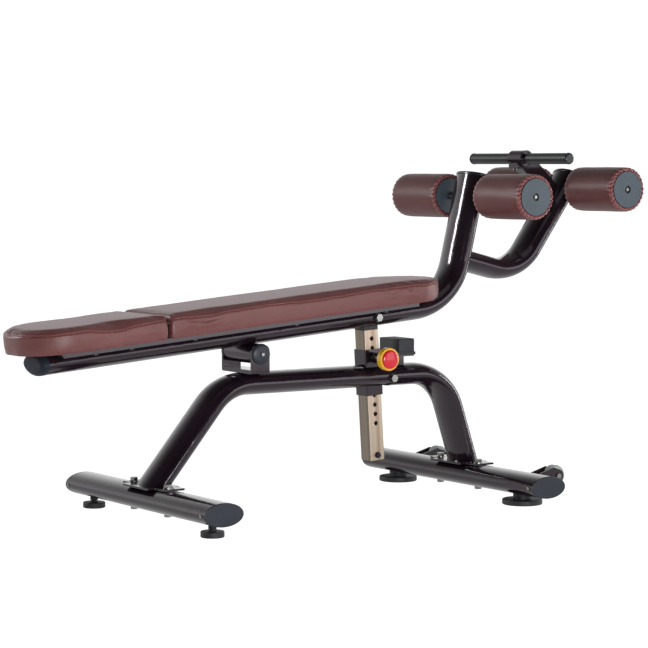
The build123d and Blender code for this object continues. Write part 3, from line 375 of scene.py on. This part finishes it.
finishes = {
    "frame_paint": gloss_paint("frame_paint", False),
    "frame_paint_edged": gloss_paint("frame_paint_edged", True),
    "leather": upholstery("leather"),
    # a lighter copy of the pad leather for the welt: painted highlight along the seam
    "leather_welt_lit": upholstery("leather_welt_lit", 1.15, 0.6),
    # a darker copy of the pad leather for the rollers: painted shade
    "leather_roller_shaded": upholstery("leather_roller_shaded", 0.72, 0.03, 0.42),
    # lighter and darker copies of the roller leather: painted highlight on the gathered ring, painted shade in its
    # pleat folds
    "leather_gather_lit": upholstery("leather_gather_lit", 1.4, 0.2),
    "leather_crease_shade": upholstery("leather_crease_shade", 0.42, 0.05),
    "thread": thread(),
    "cap_matte": moulding("cap_matte", (0.018, 0.025, 0.036), (0.026, 0.035, 0.050), 0.5,
                          1.0 * MM, specular_ior_level=0.15),
    "cap_black": moulding("cap_black", (0.008, 0.010, 0.012), (0.014, 0.017, 0.020), 0.22,
                          0.5 * MM),
    "cap_plastic": moulding("cap_plastic", (0.015, 0.020, 0.031), (0.022, 0.029, 0.043), 0.42,
                            1.0 * MM),
    "zinc_steel": plated("zinc_steel", (0.26, 0.26, 0.25), (0.44, 0.44, 0.42), 0.26),
    "dark_steel": plated("dark_steel", (0.05, 0.05, 0.055), (0.09, 0.09, 0.095), 0.42),
    "black_steel": plated("black_steel", (0.035, 0.034, 0.037), (0.06, 0.058, 0.062), 0.34,
                          0.8 * MM),
    "black_rubber": moulding("black_rubber", (0.012, 0.013, 0.015), (0.022, 0.024, 0.028), 0.52,
                             1.5 * MM, 700, 0.22),
    "wheel_plastic": cast_wheel(),
    "bronze": plated("bronze", (0.40, 0.24, 0.10), (0.58, 0.39, 0.18), 0.33),
    "knob_yellow": moulding("knob_yellow", (0.88, 0.46, 0.010), (0.96, 0.58, 0.018), 0.22,
                            0.8 * MM, 300, 0.03, coat_weight=0.3, coat_roughness=0.05),
    "knob_red": moulding("knob_red", (0.70, 0.014, 0.030), (0.80, 0.022, 0.042), 0.16, None,
                         200, 0.02, coat_weight=0.3, coat_roughness=0.03),
    "post_metal": champagne_post(),
    "plywood": plywood(),
    "disc_plastic": moulding("disc_plastic", (0.058, 0.080, 0.104), (0.076, 0.102, 0.130), 0.36,
                             0.8 * MM, 1300, 0.08),
    "grip_rubber": moulding("grip_rubber", (0.014, 0.016, 0.018), (0.024, 0.027, 0.030), 0.38,
                            0.4 * MM, 900, 0.15),
    "grip_cap": moulding("grip_cap", (0.022, 0.026, 0.032), (0.034, 0.040, 0.048), 0.20,
                         0.8 * MM, 400, 0.04),
}

PLAIN_TUBES = ("base_main_tube", "bench_tube", "rear_arm_tube", "front_foot_bar",
               "rear_foot_bar")
slot_of = {part["node"]: part["material_slot"] for part in frame["record"]["subparts"]}


def dress(piece, *finish_names):
    piece.data.materials.clear()
    for finish_name in finish_names:
        piece.data.materials.append(finishes[finish_name])


OWN_FINISH = {
    "pad_screws": "black_steel",
    "post_stop_bolt": "black_steel",
    "arm_end_caps": "cap_black",
    "beam_end_cap": "cap_matte",
    "leveller_left": "black_rubber",
    "leveller_right": "black_rubber",
}
for node_name, node_object in nodes.items():
    slot = slot_of[node_name]
    if slot == "frame_paint" and node_name not in PLAIN_TUBES:
        slot = "frame_paint_edged"
    dress(node_object, OWN_FINISH.get(node_name, slot))


# ---- floor ----
def lay_floor():
    """A pale seamless floor that almost glows where it is seen directly."""
    mesh = bpy.data.meshes.new("floor")
    half = 30.0
    corners = [(-half, -half, 0), (half, -half, 0), (half, half, 0), (-half, half, 0)]
    mesh.from_pydata(corners, [], [(0, 1, 2, 3)])
    floor = bpy.data.objects.new("floor", mesh)
    scene.collection.objects.link(floor)
    paper = Finish("paper", specular_ior_level=0.1, emission_color=(1, 1, 1))
    seen = paper.tree.nodes.new("ShaderNodeLightPath").outputs["Is Camera Ray"]
    glow = paper.spread(seen, 0.0, 1.0, 0.45, 1.0)
    paper.give(paper.shader.inputs["Emission Strength"], glow)
    fibre = paper.noise(700, 3)
    colour = paper.tones(fibre, (0.2, (0.26, 0.26, 0.26)), (0.8, (0.30, 0.30, 0.30)))
    mesh.materials.append(paper.finish(colour, 0.9, paper.relief(fibre, 0.05, 0.1 * MM)))


lay_floor()


# ---- helpers for new pieces ----
def new_piece(name, vertices, faces, finish_name, smooth=True):
    mesh = bpy.data.meshes.new(name)
    mesh.from_pydata([tuple(v) for v in vertices], [], faces)
    mesh.update()
    piece = bpy.data.objects.new(name, mesh)
    scene.collection.objects.link(piece)
    dress(piece, finish_name)
    if smooth:
        mesh.shade_smooth()
    return piece


def face_outward(piece):
    """Make all face normals of a closed mesh point outward."""
    shape = bmesh.new()
    shape.from_mesh(piece.data)
    bmesh.ops.recalc_face_normals(shape, faces=shape.faces)
    shape.to_mesh(piece.data)
    shape.free()


def settle(piece):
    """Apply a piece's modifiers."""
    graph = bpy.context.evaluated_depsgraph_get()
    made = bpy.data.meshes.new_from_object(piece.evaluated_get(graph))
    piece.modifiers.clear()
    old = piece.data
    piece.data = made
    made.name = piece.name
    bpy.data.meshes.remove(old)
    made.shade_smooth()


def lathe(name, profile, centre, finish_name, steps=96, shape=None):
    """A closed ring swept round a line along Y. The profile is a closed loop of (radius, y);
    shape, if given, returns the moved (radius, y) for a profile point's index and an angle."""
    count = len(profile)
    vertices, faces = [], []
    for turn in range(steps):
        angle = 2 * math.pi * turn / steps
        for index, (radius, y) in enumerate(profile):
            if shape:
                radius, y = shape(index, angle)
            vertices.append((centre[0] + radius * math.cos(angle), y,
                             centre[2] + radius * math.sin(angle)))
    for turn in range(steps):
        after = (turn + 1) % steps
        for index in range(count):
            beside = (index + 1) % count
            faces.append((turn * count + index, turn * count + beside,
                          after * count + beside, after * count + index))
    piece = new_piece(name, vertices, faces, finish_name)
    face_outward(piece)
    return piece


# ---- padded bench ----
BENCH_SLOPE = math.radians(4.86)
hinge = Vector(joints["bench_tilt"]["pos_m"])
along_bench = Vector((math.cos(BENCH_SLOPE), 0, math.sin(BENCH_SLOPE)))
above_bench = Vector((-math.sin(BENCH_SLOPE), 0, math.cos(BENCH_SLOPE)))
bench_frame = Matrix.Translation(hinge) @ Matrix(
    (along_bench, Vector((0, 1, 0)), above_bench)).transposed().to_4x4()
from_bench = bench_frame.inverted()


def bench_box(node_name):
    """A CAD node's extent along, across and above the bench."""
    points = [from_bench @ v.co for v in nodes[node_name].data.vertices]
    low = Vector([min(p[i] for p in points) for i in range(3)])
    high = Vector([max(p[i] for p in points) for i in range(3)])
    return low, high


def smooth_step(value, low, high):
    share = min(1.0, max(0.0, (value - low) / (high - low)))
    return share * share * (3 - 2 * share)


def bell(value, middle, width):
    return math.exp(-((value - middle) / width) ** 2)


RAILS_START = bench_box("pad_rails")[0].x - 3 * MM
RAILS_HALF = 107 * MM       # half of the width over the rails, with a little room
SHELL_INSET = 1.6 * MM      # how much smaller the pads start, for the swelling
VOXEL = 4.2 * MM
PRESSURE = 4.0
SWELL_CAP = 2.4 * MM
WELT_R = 1.15 * MM
WELT_PROUD = 0.9 * MM


class Pad:
    """A foam pad, in metres along (s) and across (y) the bench. Heights are above its underside,
    which is base above the hinge."""

    CORNER_POINTS = 14
    SIDE_POINTS = 90
    END_POINTS = 26

    def __init__(self, node_name, front_radius, back_radius, waves):
        """Front is the end with the lower s; the small radius is at the end by the other pad."""
        self.low, self.high = bench_box(node_name)
        self.half = (self.high.y - self.low.y) / 2
        self.base = self.low.z
        self.thick = self.high.z - self.low.z
        self.radii = (front_radius, back_radius)
        self.flat_end = self.high.x if back_radius < front_radius else self.low.x
        self.waves = waves

    def ring(self, inset_at):
        """Points round the plan; inset_at gives the inset for a point of the outer outline."""
        points = []
        corners = ((1, -1, -90), (1, 1, 0), (-1, 1, 90), (-1, -1, 180))
        outer = []
        for end, side, start in corners:
            radius = self.radii[1] if end > 0 else self.radii[0]
            middle_s = self.high.x - radius if end > 0 else self.low.x + radius
            middle_y = side * (self.half - radius)
            for step in range(self.CORNER_POINTS + 1):
                angle = math.radians(start + 90 * step / self.CORNER_POINTS)
                outer.append((end, side, angle, middle_s, middle_y, radius))
        for end, side, angle, middle_s, middle_y, radius in outer:
            edge_s = middle_s + radius * math.cos(angle)
            edge_y = middle_y + radius * math.sin(angle)
            inset = inset_at(edge_s, edge_y)
            left = max(radius - inset, 0.0)
            spare = inset - (radius - left)
            points.append((middle_s - end * spare + left * math.cos(angle),
                           middle_y - side * spare + left * math.sin(angle), edge_s, edge_y))
        filled = []
        for number, point in enumerate(points):
            filled.append(point)
            if number % (self.CORNER_POINTS + 1) == self.CORNER_POINTS:
                after = points[(number + 1) % len(points)]
                corner = number // (self.CORNER_POINTS + 1)
                extra = self.END_POINTS if corner in (0, 2) else self.SIDE_POINTS
                for step in range(1, extra):
                    share = step / extra
                    edge_s = point[2] + share * (after[2] - point[2])
                    edge_y = point[3] + share * (after[3] - point[3])
                    inset = inset_at(edge_s, edge_y)
                    if corner in (0, 2):
                        sign = 1 if corner == 0 else -1
                        filled.append((edge_s - sign * inset,
                                       edge_y * (1 - inset / self.half), edge_s, edge_y))
                    else:
                        sign = 1 if corner == 1 else -1
                        middle = (self.low.x + self.high.x) / 2
                        reach = (self.high.x - self.low.x) / 2
                        filled.append((middle + (edge_s - middle) * (1 - inset / reach),
                                       edge_y - sign * inset, edge_s, edge_y))
        return filled

    def seam_height(self, s, y):
        """Where the side panel is sewn to the top, above the underside."""
        height = self.thick * 0.80
        height -= 9 * MM * (1 - smooth_step(abs(s - self.flat_end), 0.5 * MM, 10 * MM))
        for middle, width, drop, _ in self.waves:
            height -= drop * bell(s, middle, width) * (1.0 if y < 0 else 0.55)
        ripple = 0.6 * math.sin(s * 46 + 1.7 * (y > 0)) + 0.45 * math.sin(s * 97 + 2.1 + y * 9)
        return height + ripple * MM

    def bevel(self, s, y):
        """How far in the shoulder reaches."""
        width = 21 * MM
        for middle, reach, _, extra in self.waves:
            width += extra * bell(s, middle, reach) * (1.0 if y < 0 else 0.7)
        width += 1.1 * MM * math.sin(s * 31 + 3.0 * (y > 0))
        return 3 * MM + (width - 3 * MM) * smooth_step(abs(s - self.flat_end), 0.5 * MM, 9 * MM)

    def top(self, s):
        return self.thick

    def under(self, s):
        return 0.0

    def underside(self, s, y):
        """The wrapped edge hangs a little lower than the board, clear of the rails."""
        if abs(y) > RAILS_HALF or s < RAILS_START:
            return self.under(s) - 1.0 * MM
        return max(0.4 * MM, self.under(s))

    def rounded_profile(self, start):
        """(inset, height) rules from the underside to the middle of the top. Start is the first
        inset; a height rule takes a point's own s, then the s and y of the outline beside it."""
        def wall(share, belly):
            return (lambda s, y: start - belly * MM,
                    lambda here, s, y: self.under(s)
                    + share * (self.seam_height(s, y) - self.under(s)))

        def shoulder(inward, rise):
            return (lambda s, y: start + self.bevel(s, y) * inward,
                    lambda here, s, y: self.seam_height(s, y)
                    + (self.top(s) - start - self.seam_height(s, y)) * rise)

        def flat(inset, height):
            return (lambda s, y: inset, lambda here, s, y: height(here))

        rules = [flat(0.060, self.under), flat(start + 1.5 * MM, self.under)]
        rules += [wall(*shares) for shares in ((0.05, -0.8), (0.12, 0.0), (0.35, 0.9),
                                               (0.65, 1.1), (0.9, 0.5), (1.0, 0.0))]
        rules += [shoulder(*shares) for shares in ((0.10, 0.20), (0.35, 0.47), (0.60, 0.70),
                                                   (0.82, 0.90), (0.94, 0.985), (1.0, 1.0))]
        for inset, rise in ((0.050, 0.3), (0.075, 0.6), (0.105, 0.9), (0.120, 1.0)):
            rules.append(flat(inset, lambda s, rise=rise: self.top(s) - start + rise * MM))
        return rules

    def cap(self, first, count):
        """Faces straight across the pad that close the ring whose first vertex is given."""
        turn = 2 * self.CORNER_POINTS + self.END_POINTS
        faces = []
        for index in range(turn // 2, turn // 2 + count // 2):
            corners = [first + place % count
                       for place in (index, index + 1, turn - index - 1, turn - index)]
            faces.append(tuple(dict.fromkeys(corners)))
        return faces

    def shell(self, name, start):
        """A closed mesh of the pad, a little smaller than its space."""
        vertices, faces = [], []
        rules = self.rounded_profile(start)
        for inset_at, height_at in rules:
            for s, y, edge_s, edge_y in self.ring(inset_at):
                height = self.base + height_at(s, edge_s, edge_y)
                vertices.append(bench_frame @ Vector((s, y, height)))
        rings = len(rules)
        count = len(vertices) // rings
        for row in range(rings - 1):
            for column in range(count):
                beside = (column + 1) % count
                faces.append((row * count + column, row * count + beside,
                              (row + 1) * count + beside, (row + 1) * count + column))
        faces += self.cap(0, count) + self.cap((rings - 1) * count, count)
        piece = new_piece(name, vertices, faces, "leather")
        face_outward(piece)
        return piece


class BackPad(Pad):
    """The long pad: over the bend of the beam its underside rises and its top sinks a little."""

    BEND_START = 0.528
    BEND_CENTRE = 0.165
    BEND_INSIDE = 0.136
    BEAM_GAP = 0.030

    def under(self, s):
        run = s - self.BEND_START
        if run <= 0:
            return 0.0
        surface = self.BEND_CENTRE - math.sqrt(self.BEND_INSIDE ** 2 - run ** 2)
        return max(0.0, surface - self.BEAM_GAP + 3.0 * MM)

    def top(self, s):
        return self.thick - 6 * MM * smooth_step(s, 0.40, 0.585)


def swell(piece, pressure, cap, freedom):
    """Puff a closed mesh up with a short cloth simulation, then keep each point within a
    distance, which freedom scales from point to point."""
    rest = [v.co.copy() for v in piece.data.vertices]
    cloth = piece.modifiers.new("swell", "CLOTH")
    cloth.settings.quality = 4
    cloth.settings.use_pressure = True
    cloth.settings.uniform_pressure_force = pressure
    cloth.settings.tension_stiffness = 25
    cloth.settings.compression_stiffness = 25
    cloth.settings.shear_stiffness = 12
    cloth.settings.bending_stiffness = 2
    cloth.settings.effector_weights.gravity = 0
    cloth.collision_settings.use_collision = False
    cloth.point_cache.frame_start = 1
    cloth.point_cache.frame_end = 20
    for moment in range(1, 21):
        scene.frame_set(moment)
    graph = bpy.context.evaluated_depsgraph_get()
    swollen = [v.co.copy() for v in piece.evaluated_get(graph).data.vertices]
    piece.modifiers.remove(cloth)
    for vertex, old, new in zip(piece.data.vertices, rest, swollen):
        move = new - old
        reach = cap * freedom(old)
        if move.length > reach:
            move *= reach / move.length
        vertex.co = old + move
    scene.frame_set(1)


def fit_plan(piece, pad):
    """Stretch a pad a little so that its length and width are the CAD pad's."""
    places = [from_bench @ v.co for v in piece.data.vertices]
    for axis in (0, 1):
        low, high = min(p[axis] for p in places), max(p[axis] for p in places)
        scale = (pad.high[axis] - pad.low[axis]) / (high - low)
        for place in places:
            place[axis] = pad.low[axis] + (place[axis] - low) * scale
    for vertex, place in zip(piece.data.vertices, places):
        vertex.co = bench_frame @ place
    piece.data.update()


def make_pad(pad, node_name, name):
    """The finished pad: shell, swelling, sewn seam, welt and stitches."""
    piece = pad.shell(name, SHELL_INSET)
    remesh = piece.modifiers.new("even", "REMESH")
    remesh.mode = "VOXEL"
    remesh.voxel_size = VOXEL
    settle(piece)
    relax = piece.modifiers.new("relax", "SMOOTH")
    relax.factor = 0.5
    relax.iterations = 2
    settle(piece)
    swell(piece, PRESSURE, SWELL_CAP,
          lambda place: smooth_step(abs((from_bench @ place).x - pad.flat_end), 0, 30 * MM))
    finer = piece.modifiers.new("finer", "SUBSURF")
    finer.levels = 1
    settle(piece)
    fit_plan(piece, pad)
    mesh = piece.data
    normals = [v.normal.copy() for v in mesh.vertices]
    for vertex, normal in zip(mesh.vertices, normals):
        s, y, w = from_bench @ vertex.co
        w -= pad.base
        away = w - pad.seam_height(s, y)
        upright = 1 - min(1.0, abs(normal.dot(above_bench)) * 1.05)
        pinch = 2.0 * MM * bell(away, 0, 2.8 * MM) - 0.5 * MM * bell(away, -7.0 * MM, 4.0 * MM)
        pucker = math.sin(s * 520 + 2 * math.sin(s * 90))
        pinch += 0.5 * MM * pucker * bell(away, -3.5 * MM, 4.0 * MM)
        pinch *= smooth_step(abs(s - pad.flat_end), 2 * MM, 12 * MM)
        moved = vertex.co - normal * pinch * upright
        s, y, w = from_bench @ moved
        floor = pad.base + pad.underside(s, y)
        if w < floor + 1.2 * MM or normal.dot(above_bench) < -0.6:
            w = floor
        vertex.co = bench_frame @ Vector((s, y, w))
    mesh.update()
    tree = BVHTree.FromPolygons([v.co for v in mesh.vertices],
                                [p.vertices for p in mesh.polygons])
    path = seam_path(pad, tree)
    welt = tube_along(path, WELT_R, name + "_welt", "leather_welt_lit", WELT_PROUD)
    stitches = stitch_row(path, name + "_stitching")
    for part in (piece, welt, stitches):
        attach(part, "bench")
    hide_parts(node_name)


def seam_path(pad, tree):
    """Points and outward directions along the seam, on the pad's finished surface."""
    places = []
    ring = pad.ring(lambda s, y: 0.0)
    loop = [Vector((p[0], p[1])) for p in ring]
    total = len(loop)
    fine = []
    for index in range(total):
        one, two = loop[index], loop[(index + 1) % total]
        parts = max(1, round((two - one).length / (2.5 * MM)))
        for part in range(parts):
            fine.append(one.lerp(two, part / parts))
    for index, point in enumerate(fine):
        ahead = fine[(index + 3) % len(fine)] - fine[index - 3]
        outward = Vector((ahead.y, -ahead.x)).normalized()
        height = pad.base + pad.seam_height(point.x, point.y)
        outside = Vector((point.x + outward.x * 0.03, point.y + outward.y * 0.03, height))
        start = bench_frame @ outside
        direction = (bench_frame.to_3x3() @ Vector((-outward.x, -outward.y, 0))).normalized()
        hit = tree.ray_cast(start, direction, 0.08)[0]
        if hit:
            places.append((hit, -direction))
    return places


def tube_along(path, radius, name, finish_name, proud):
    """A thin closed tube along a loop of (point, outward) pairs."""
    sides = 8
    vertices, faces = [], []
    count = len(path)
    for point, outward in path:
        for side in range(sides):
            angle = 2 * math.pi * side / sides
            vertices.append(point + outward * (proud + radius * math.cos(angle))
                            + above_bench * radius * math.sin(angle))
    for index in range(count):
        after = (index + 1) % count
        for side in range(sides):
            beside = (side + 1) % sides
            faces.append((index * sides + side, index * sides + beside,
                          after * sides + beside, after * sides + side))
    piece = new_piece(name, vertices, faces, finish_name)
    face_outward(piece)
    return piece


def stitch_row(path, name):
    """A row of short stitches just under the seam."""
    vertices, faces = [], []
    gap, length, radius, drop = 6.5 * MM, 4.6 * MM, 0.6 * MM, 2.9 * MM
    walked, last = 0.0, path[0][0]
    middles = []
    for index, (point, outward) in enumerate(path):
        walked += (point - last).length
        last = point
        if walked >= gap:
            walked = 0.0
            middles.append(index)
    for index in middles:
        point, outward = path[index]
        tangent = (path[(index + 1) % len(path)][0] - path[index - 1][0]).normalized()
        side = outward.cross(tangent).normalized()
        middle = point - above_bench * drop + outward * 0.9 * MM
        start = len(vertices)
        for along, size in ((-0.5, 0.25), (-0.36, 0.9), (0.0, 1.1), (0.36, 0.9), (0.5, 0.25)):
            for turn in range(6):
                angle = math.pi * turn / 3
                spoke = outward * math.cos(angle) + side * math.sin(angle)
                vertices.append(middle + tangent * along * length + spoke * radius * size)
        for row in range(4):
            for turn in range(6):
                beside = (turn + 1) % 6
                faces.append((start + row * 6 + turn, start + row * 6 + beside,
                              start + (row + 1) * 6 + beside, start + (row + 1) * 6 + turn))
        faces.append(tuple(start + turn for turn in reversed(range(6))))
        faces.append(tuple(start + 24 + turn for turn in range(6)))
    piece = new_piece(name, vertices, faces, "thread")
    face_outward(piece)
    return piece


# (place along the bench, reach, how far the seam dips, how much wider the shoulder gets)
HEAD_WAVES = ((-0.430, 0.058, 0.0085, 0.016), (-0.545, 0.05, -0.001, -0.002))
BACK_WAVES = ((-0.18, 0.05, 0.003, 0.004), (-0.02, 0.06, -0.002, -0.003),
              (0.16, 0.07, 0.003, 0.005), (0.36, 0.06, -0.001, 0.003),
              (0.50, 0.05, 0.002, 0.002))
make_pad(Pad("head_pad", 0.112, 0.006, HEAD_WAVES), "head_pad", "head_pad_cover")
make_pad(BackPad("back_pad", 0.009, 0.112, BACK_WAVES), "back_pad", "back_pad_cover")


# ---- rollers ----
DISC_R = 48.5 * MM
PLEATS = 28
LEAN = 0.8                  # how many pleats a fold leans sideways on its way to the rim


def make_roller(body, number):
    """A leather sleeve over foam, gathered tight round the disc at each end."""
    node_name = body.replace("roller_", "roller_pad_")
    low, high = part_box(node_name)
    radius = (high.z - low.z) / 2
    centre = (low + high) / 2
    tight = random.Random(70 + number)
    sizes = [tight.uniform(0.55, 1.25) for _ in range(PLEATS)]
    shifts = [tight.uniform(-0.22, 0.22) for _ in range(PLEATS)]
    half = (high.y - low.y) / 2
    lip = []                        # (radius, distance inside the end, share of gather)
    ring_r = DISC_R + 5.4 * MM      # middle of the puffed ring round the disc
    puff = 5.0 * MM
    lip.append((DISC_R - 1.2 * MM, 5.0 * MM, 0.0))
    for step in range(11):
        turn = math.radians(-62 + 150 * step / 10)
        lip.append((ring_r + puff * math.sin(turn), puff - 1.0 * MM - puff * math.cos(turn),
                    0.25 + 0.75 * math.cos(math.radians(-55 + 125 * step / 10)) ** 0.8))
    lip.append((radius - 0.9 * MM, 8.5 * MM, 0.26))
    lip.append((radius - 0.45 * MM, 12.0 * MM, 0.14))
    lip.append((radius - 0.2 * MM, 18.0 * MM, 0.03))
    lip.append((radius, 26.0 * MM, 0.0))
    middle = [(radius, 26.0 * MM + (half - 26.0 * MM) * step / 6, 0.0) for step in range(1, 6)]
    rows = [(r, -half + inside, g, -1) for r, inside, g in lip + middle]
    rows += [(radius, 0.0, 0.0, 1)]
    rows += [(r, half - inside, g, 1) for r, inside, g in reversed(lip + middle)]
    inner = 17.0 * MM
    profile = [(r, centre.y + y) for r, y, _, _ in rows]
    profile += [(inner, centre.y + half - 5.0 * MM), (inner, centre.y - half + 5.0 * MM)]

    def pleat_at(angle, end, r):
        """The number of the pleat at a place on an end, and how far across the pleat it is."""
        place = angle / (2 * math.pi) * PLEATS + LEAN * end * (r - DISC_R) / (radius - DISC_R)
        pleat = int(math.floor(place)) % PLEATS
        return pleat, place - math.floor(place) + shifts[pleat] * 0.3

    def shape(index, angle):
        if index >= len(rows):
            return profile[index]
        r, y, gather, end = rows[index]
        pleat, inside = pleat_at(angle, end, r)
        fold = abs(math.sin(math.pi * min(1.0, max(0.0, inside)))) ** 0.55
        height = 5.6 * MM * sizes[pleat] * (fold - 0.82) * gather
        slack = 0.22 * MM * math.sin(3 * angle + number) * math.sin(y * 31 + number)
        slack += 0.12 * MM * math.sin(7 * angle + 2 * number + y * 60)
        outward = min(1.0, max(0.0, (r - DISC_R) / (radius - DISC_R)))
        return (r + height * (0.15 + 0.75 * outward) * (r > DISC_R)
                + slack * (gather < 0.2 and r > DISC_R),
                centre.y + y + end * height * (1 - outward ** 2))

    piece = lathe(body + "_cover", profile, centre, "leather_roller_shaded", PLEATS * 10, shape)
    # painted highlight and shade on the gathered ends: ring faces get the lighter leather, faces in the pleat
    # folds the darker one
    for finish_name in ("leather_gather_lit", "leather_crease_shade"):
        piece.data.materials.append(finishes[finish_name])
    for polygon in piece.data.polygons:
        inside = half - abs(polygon.center.y - centre.y)
        if inside < 7.5 * MM:
            across = polygon.center.x - centre.x
            upward = polygon.center.z - centre.z
            angle = math.atan2(upward, across) % (2 * math.pi)
            end = math.copysign(1, polygon.center.y - centre.y)
            share = pleat_at(angle, end, math.hypot(across, upward))[1]
            polygon.material_index = 2 if min(share, 1 - share) < 0.10 else 1
    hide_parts(node_name)
    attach(piece, body)


for number, body in enumerate(("roller_front_left", "roller_front_right", "roller_rear_left",
                               "roller_rear_right")):
    make_roller(body, number)


# ---- carried-over pieces ----
def darken(node_name, finish_name, chosen):
    """Give the chosen faces of a CAD node a second finish; chosen takes a face's points."""
    mesh = nodes[node_name].data
    mesh.materials.append(finishes[finish_name])
    for polygon in mesh.polygons:
        if chosen([mesh.vertices[index].co for index in polygon.vertices]):
            polygon.material_index = len(mesh.materials) - 1


def is_cross_washer(points):
    """The washers under the heads of the bolts that cross the tubes, on the knob's side."""
    return all(-57.3 * MM < point.y < -55.1 * MM for point in points)


# painted shade: the washers under the cross bolts' heads get black steel
for node_name in ("post_pivot_bolt", "base_nuts_and_washers"):
    darken(node_name, "black_steel", is_cross_washer)
darken("base_nuts_and_washers", "black_rubber",
       lambda points: all(point.z < 45 * MM for point in points)
       and abs(points[0].y) > 200 * MM)


def soften(node_name, radius, grow=0.0):
    """Round a moulded CAD piece's sharp edges, and let it grow by the thickness of its skin."""
    piece = nodes[node_name]
    piece.modifiers.new("join", "WELD").merge_threshold = 0.01 * MM
    bevel = piece.modifiers.new("round", "BEVEL")
    bevel.width = radius
    bevel.segments = 4
    bevel.limit_method = "ANGLE"
    bevel.angle_limit = math.radians(40)
    if grow:
        skin = piece.modifiers.new("skin", "DISPLACE")
        skin.strength = grow
        skin.mid_level = 0.0


soften("arm_end_caps", 1.6 * MM, 1.3 * MM)
soften("stop_rubber", 4.5 * MM)

# painted shade: faces more than 4.6 mm from the axle get the black cap finish, standing for the dark hole round
# each bolt head
bolts = nodes["roller_axle_bolts"]
bolts.data.materials.append(finishes["cap_black"])
bolt_centres = [Vector(joints[f"roller_{place}_left_spin"]["pos_m"])
                for place in ("front", "rear")]
for polygon in bolts.data.polygons:
    middle = polygon.center
    spread = min(math.hypot(middle.x - c.x, middle.z - c.z) for c in bolt_centres)
    if spread > 4.6 * MM:
        polygon.material_index = 1


# ---- pull knob ----
def knob_dome():
    """The red push face: a domed disc in the yellow ring."""
    low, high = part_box("knob_face")
    radius = (high.x - low.x) / 2
    rise = 6.0 * MM
    edge_y = low.y + 3.2 * MM
    profile = [(0.0, high.y), (radius - 0.2 * MM, high.y),
               (radius - 0.2 * MM, edge_y + 1.2 * MM)]
    for step in range(11):
        share = step / 10
        profile.append(((radius - 0.5 * MM) * math.cos(share * math.pi / 2),
                        edge_y - rise * math.sin(share * math.pi / 2) * 0.97))
    piece = spun("pull_knob_dome", profile, (low + high) / 2, "knob_red")
    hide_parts("knob_face")
    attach(piece, "pull_knob")


def spun(name, profile, centre, finish_name, steps=72):
    """A solid turned round a line along Y; its profile starts and ends on the axis."""
    inner = profile[1:-1]
    count = len(inner)
    vertices, faces = [], []
    for turn in range(steps):
        angle = 2 * math.pi * turn / steps
        for radius, y in inner:
            vertices.append((centre[0] + radius * math.cos(angle), y,
                             centre[2] + radius * math.sin(angle)))
    first = len(vertices)
    vertices += [(centre[0], profile[0][1], centre[2]), (centre[0], profile[-1][1], centre[2])]
    for turn in range(steps):
        after = (turn + 1) % steps
        for index in range(count - 1):
            faces.append((turn * count + index, turn * count + index + 1,
                          after * count + index + 1, after * count + index))
        faces.append((first, turn * count, after * count))
        faces.append((first + 1, after * count + count - 1, turn * count + count - 1))
    piece = new_piece(name, vertices, faces, finish_name)
    face_outward(piece)
    return piece


knob_dome()


def hinge_dome(side):
    """A domed plastic cap over an end of the hinge pin, with a dished seat for its screw."""
    low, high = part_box("hinge_caps")
    centre = Vector(joints["bench_tilt"]["pos_m"])
    inner = side * (high.y - 9.0 * MM)
    radius = (high.z - low.z) / 2
    profile = [(0.0, inner), (radius - 0.4 * MM, inner), (radius, inner + side * 0.6 * MM)]
    for step in range(9):
        turn = math.radians(6 + 72 * step / 8)
        profile.append((radius * math.cos(turn) ** 0.75,
                        inner + side * (0.8 + 8.2 * math.sin(turn)) * MM))
    profile += [(6.6 * MM, inner + side * 9.2 * MM), (5.6 * MM, inner + side * 8.9 * MM),
                (5.2 * MM, inner + side * 8.0 * MM), (0.0, inner + side * 8.0 * MM)]
    name = "hinge_cap_" + ("right" if side > 0 else "left")
    piece = spun(name, profile, centre, "cap_plastic")
    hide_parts("hinge_caps")
    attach(piece, "base")


for side in (-1, 1):
    hinge_dome(side)
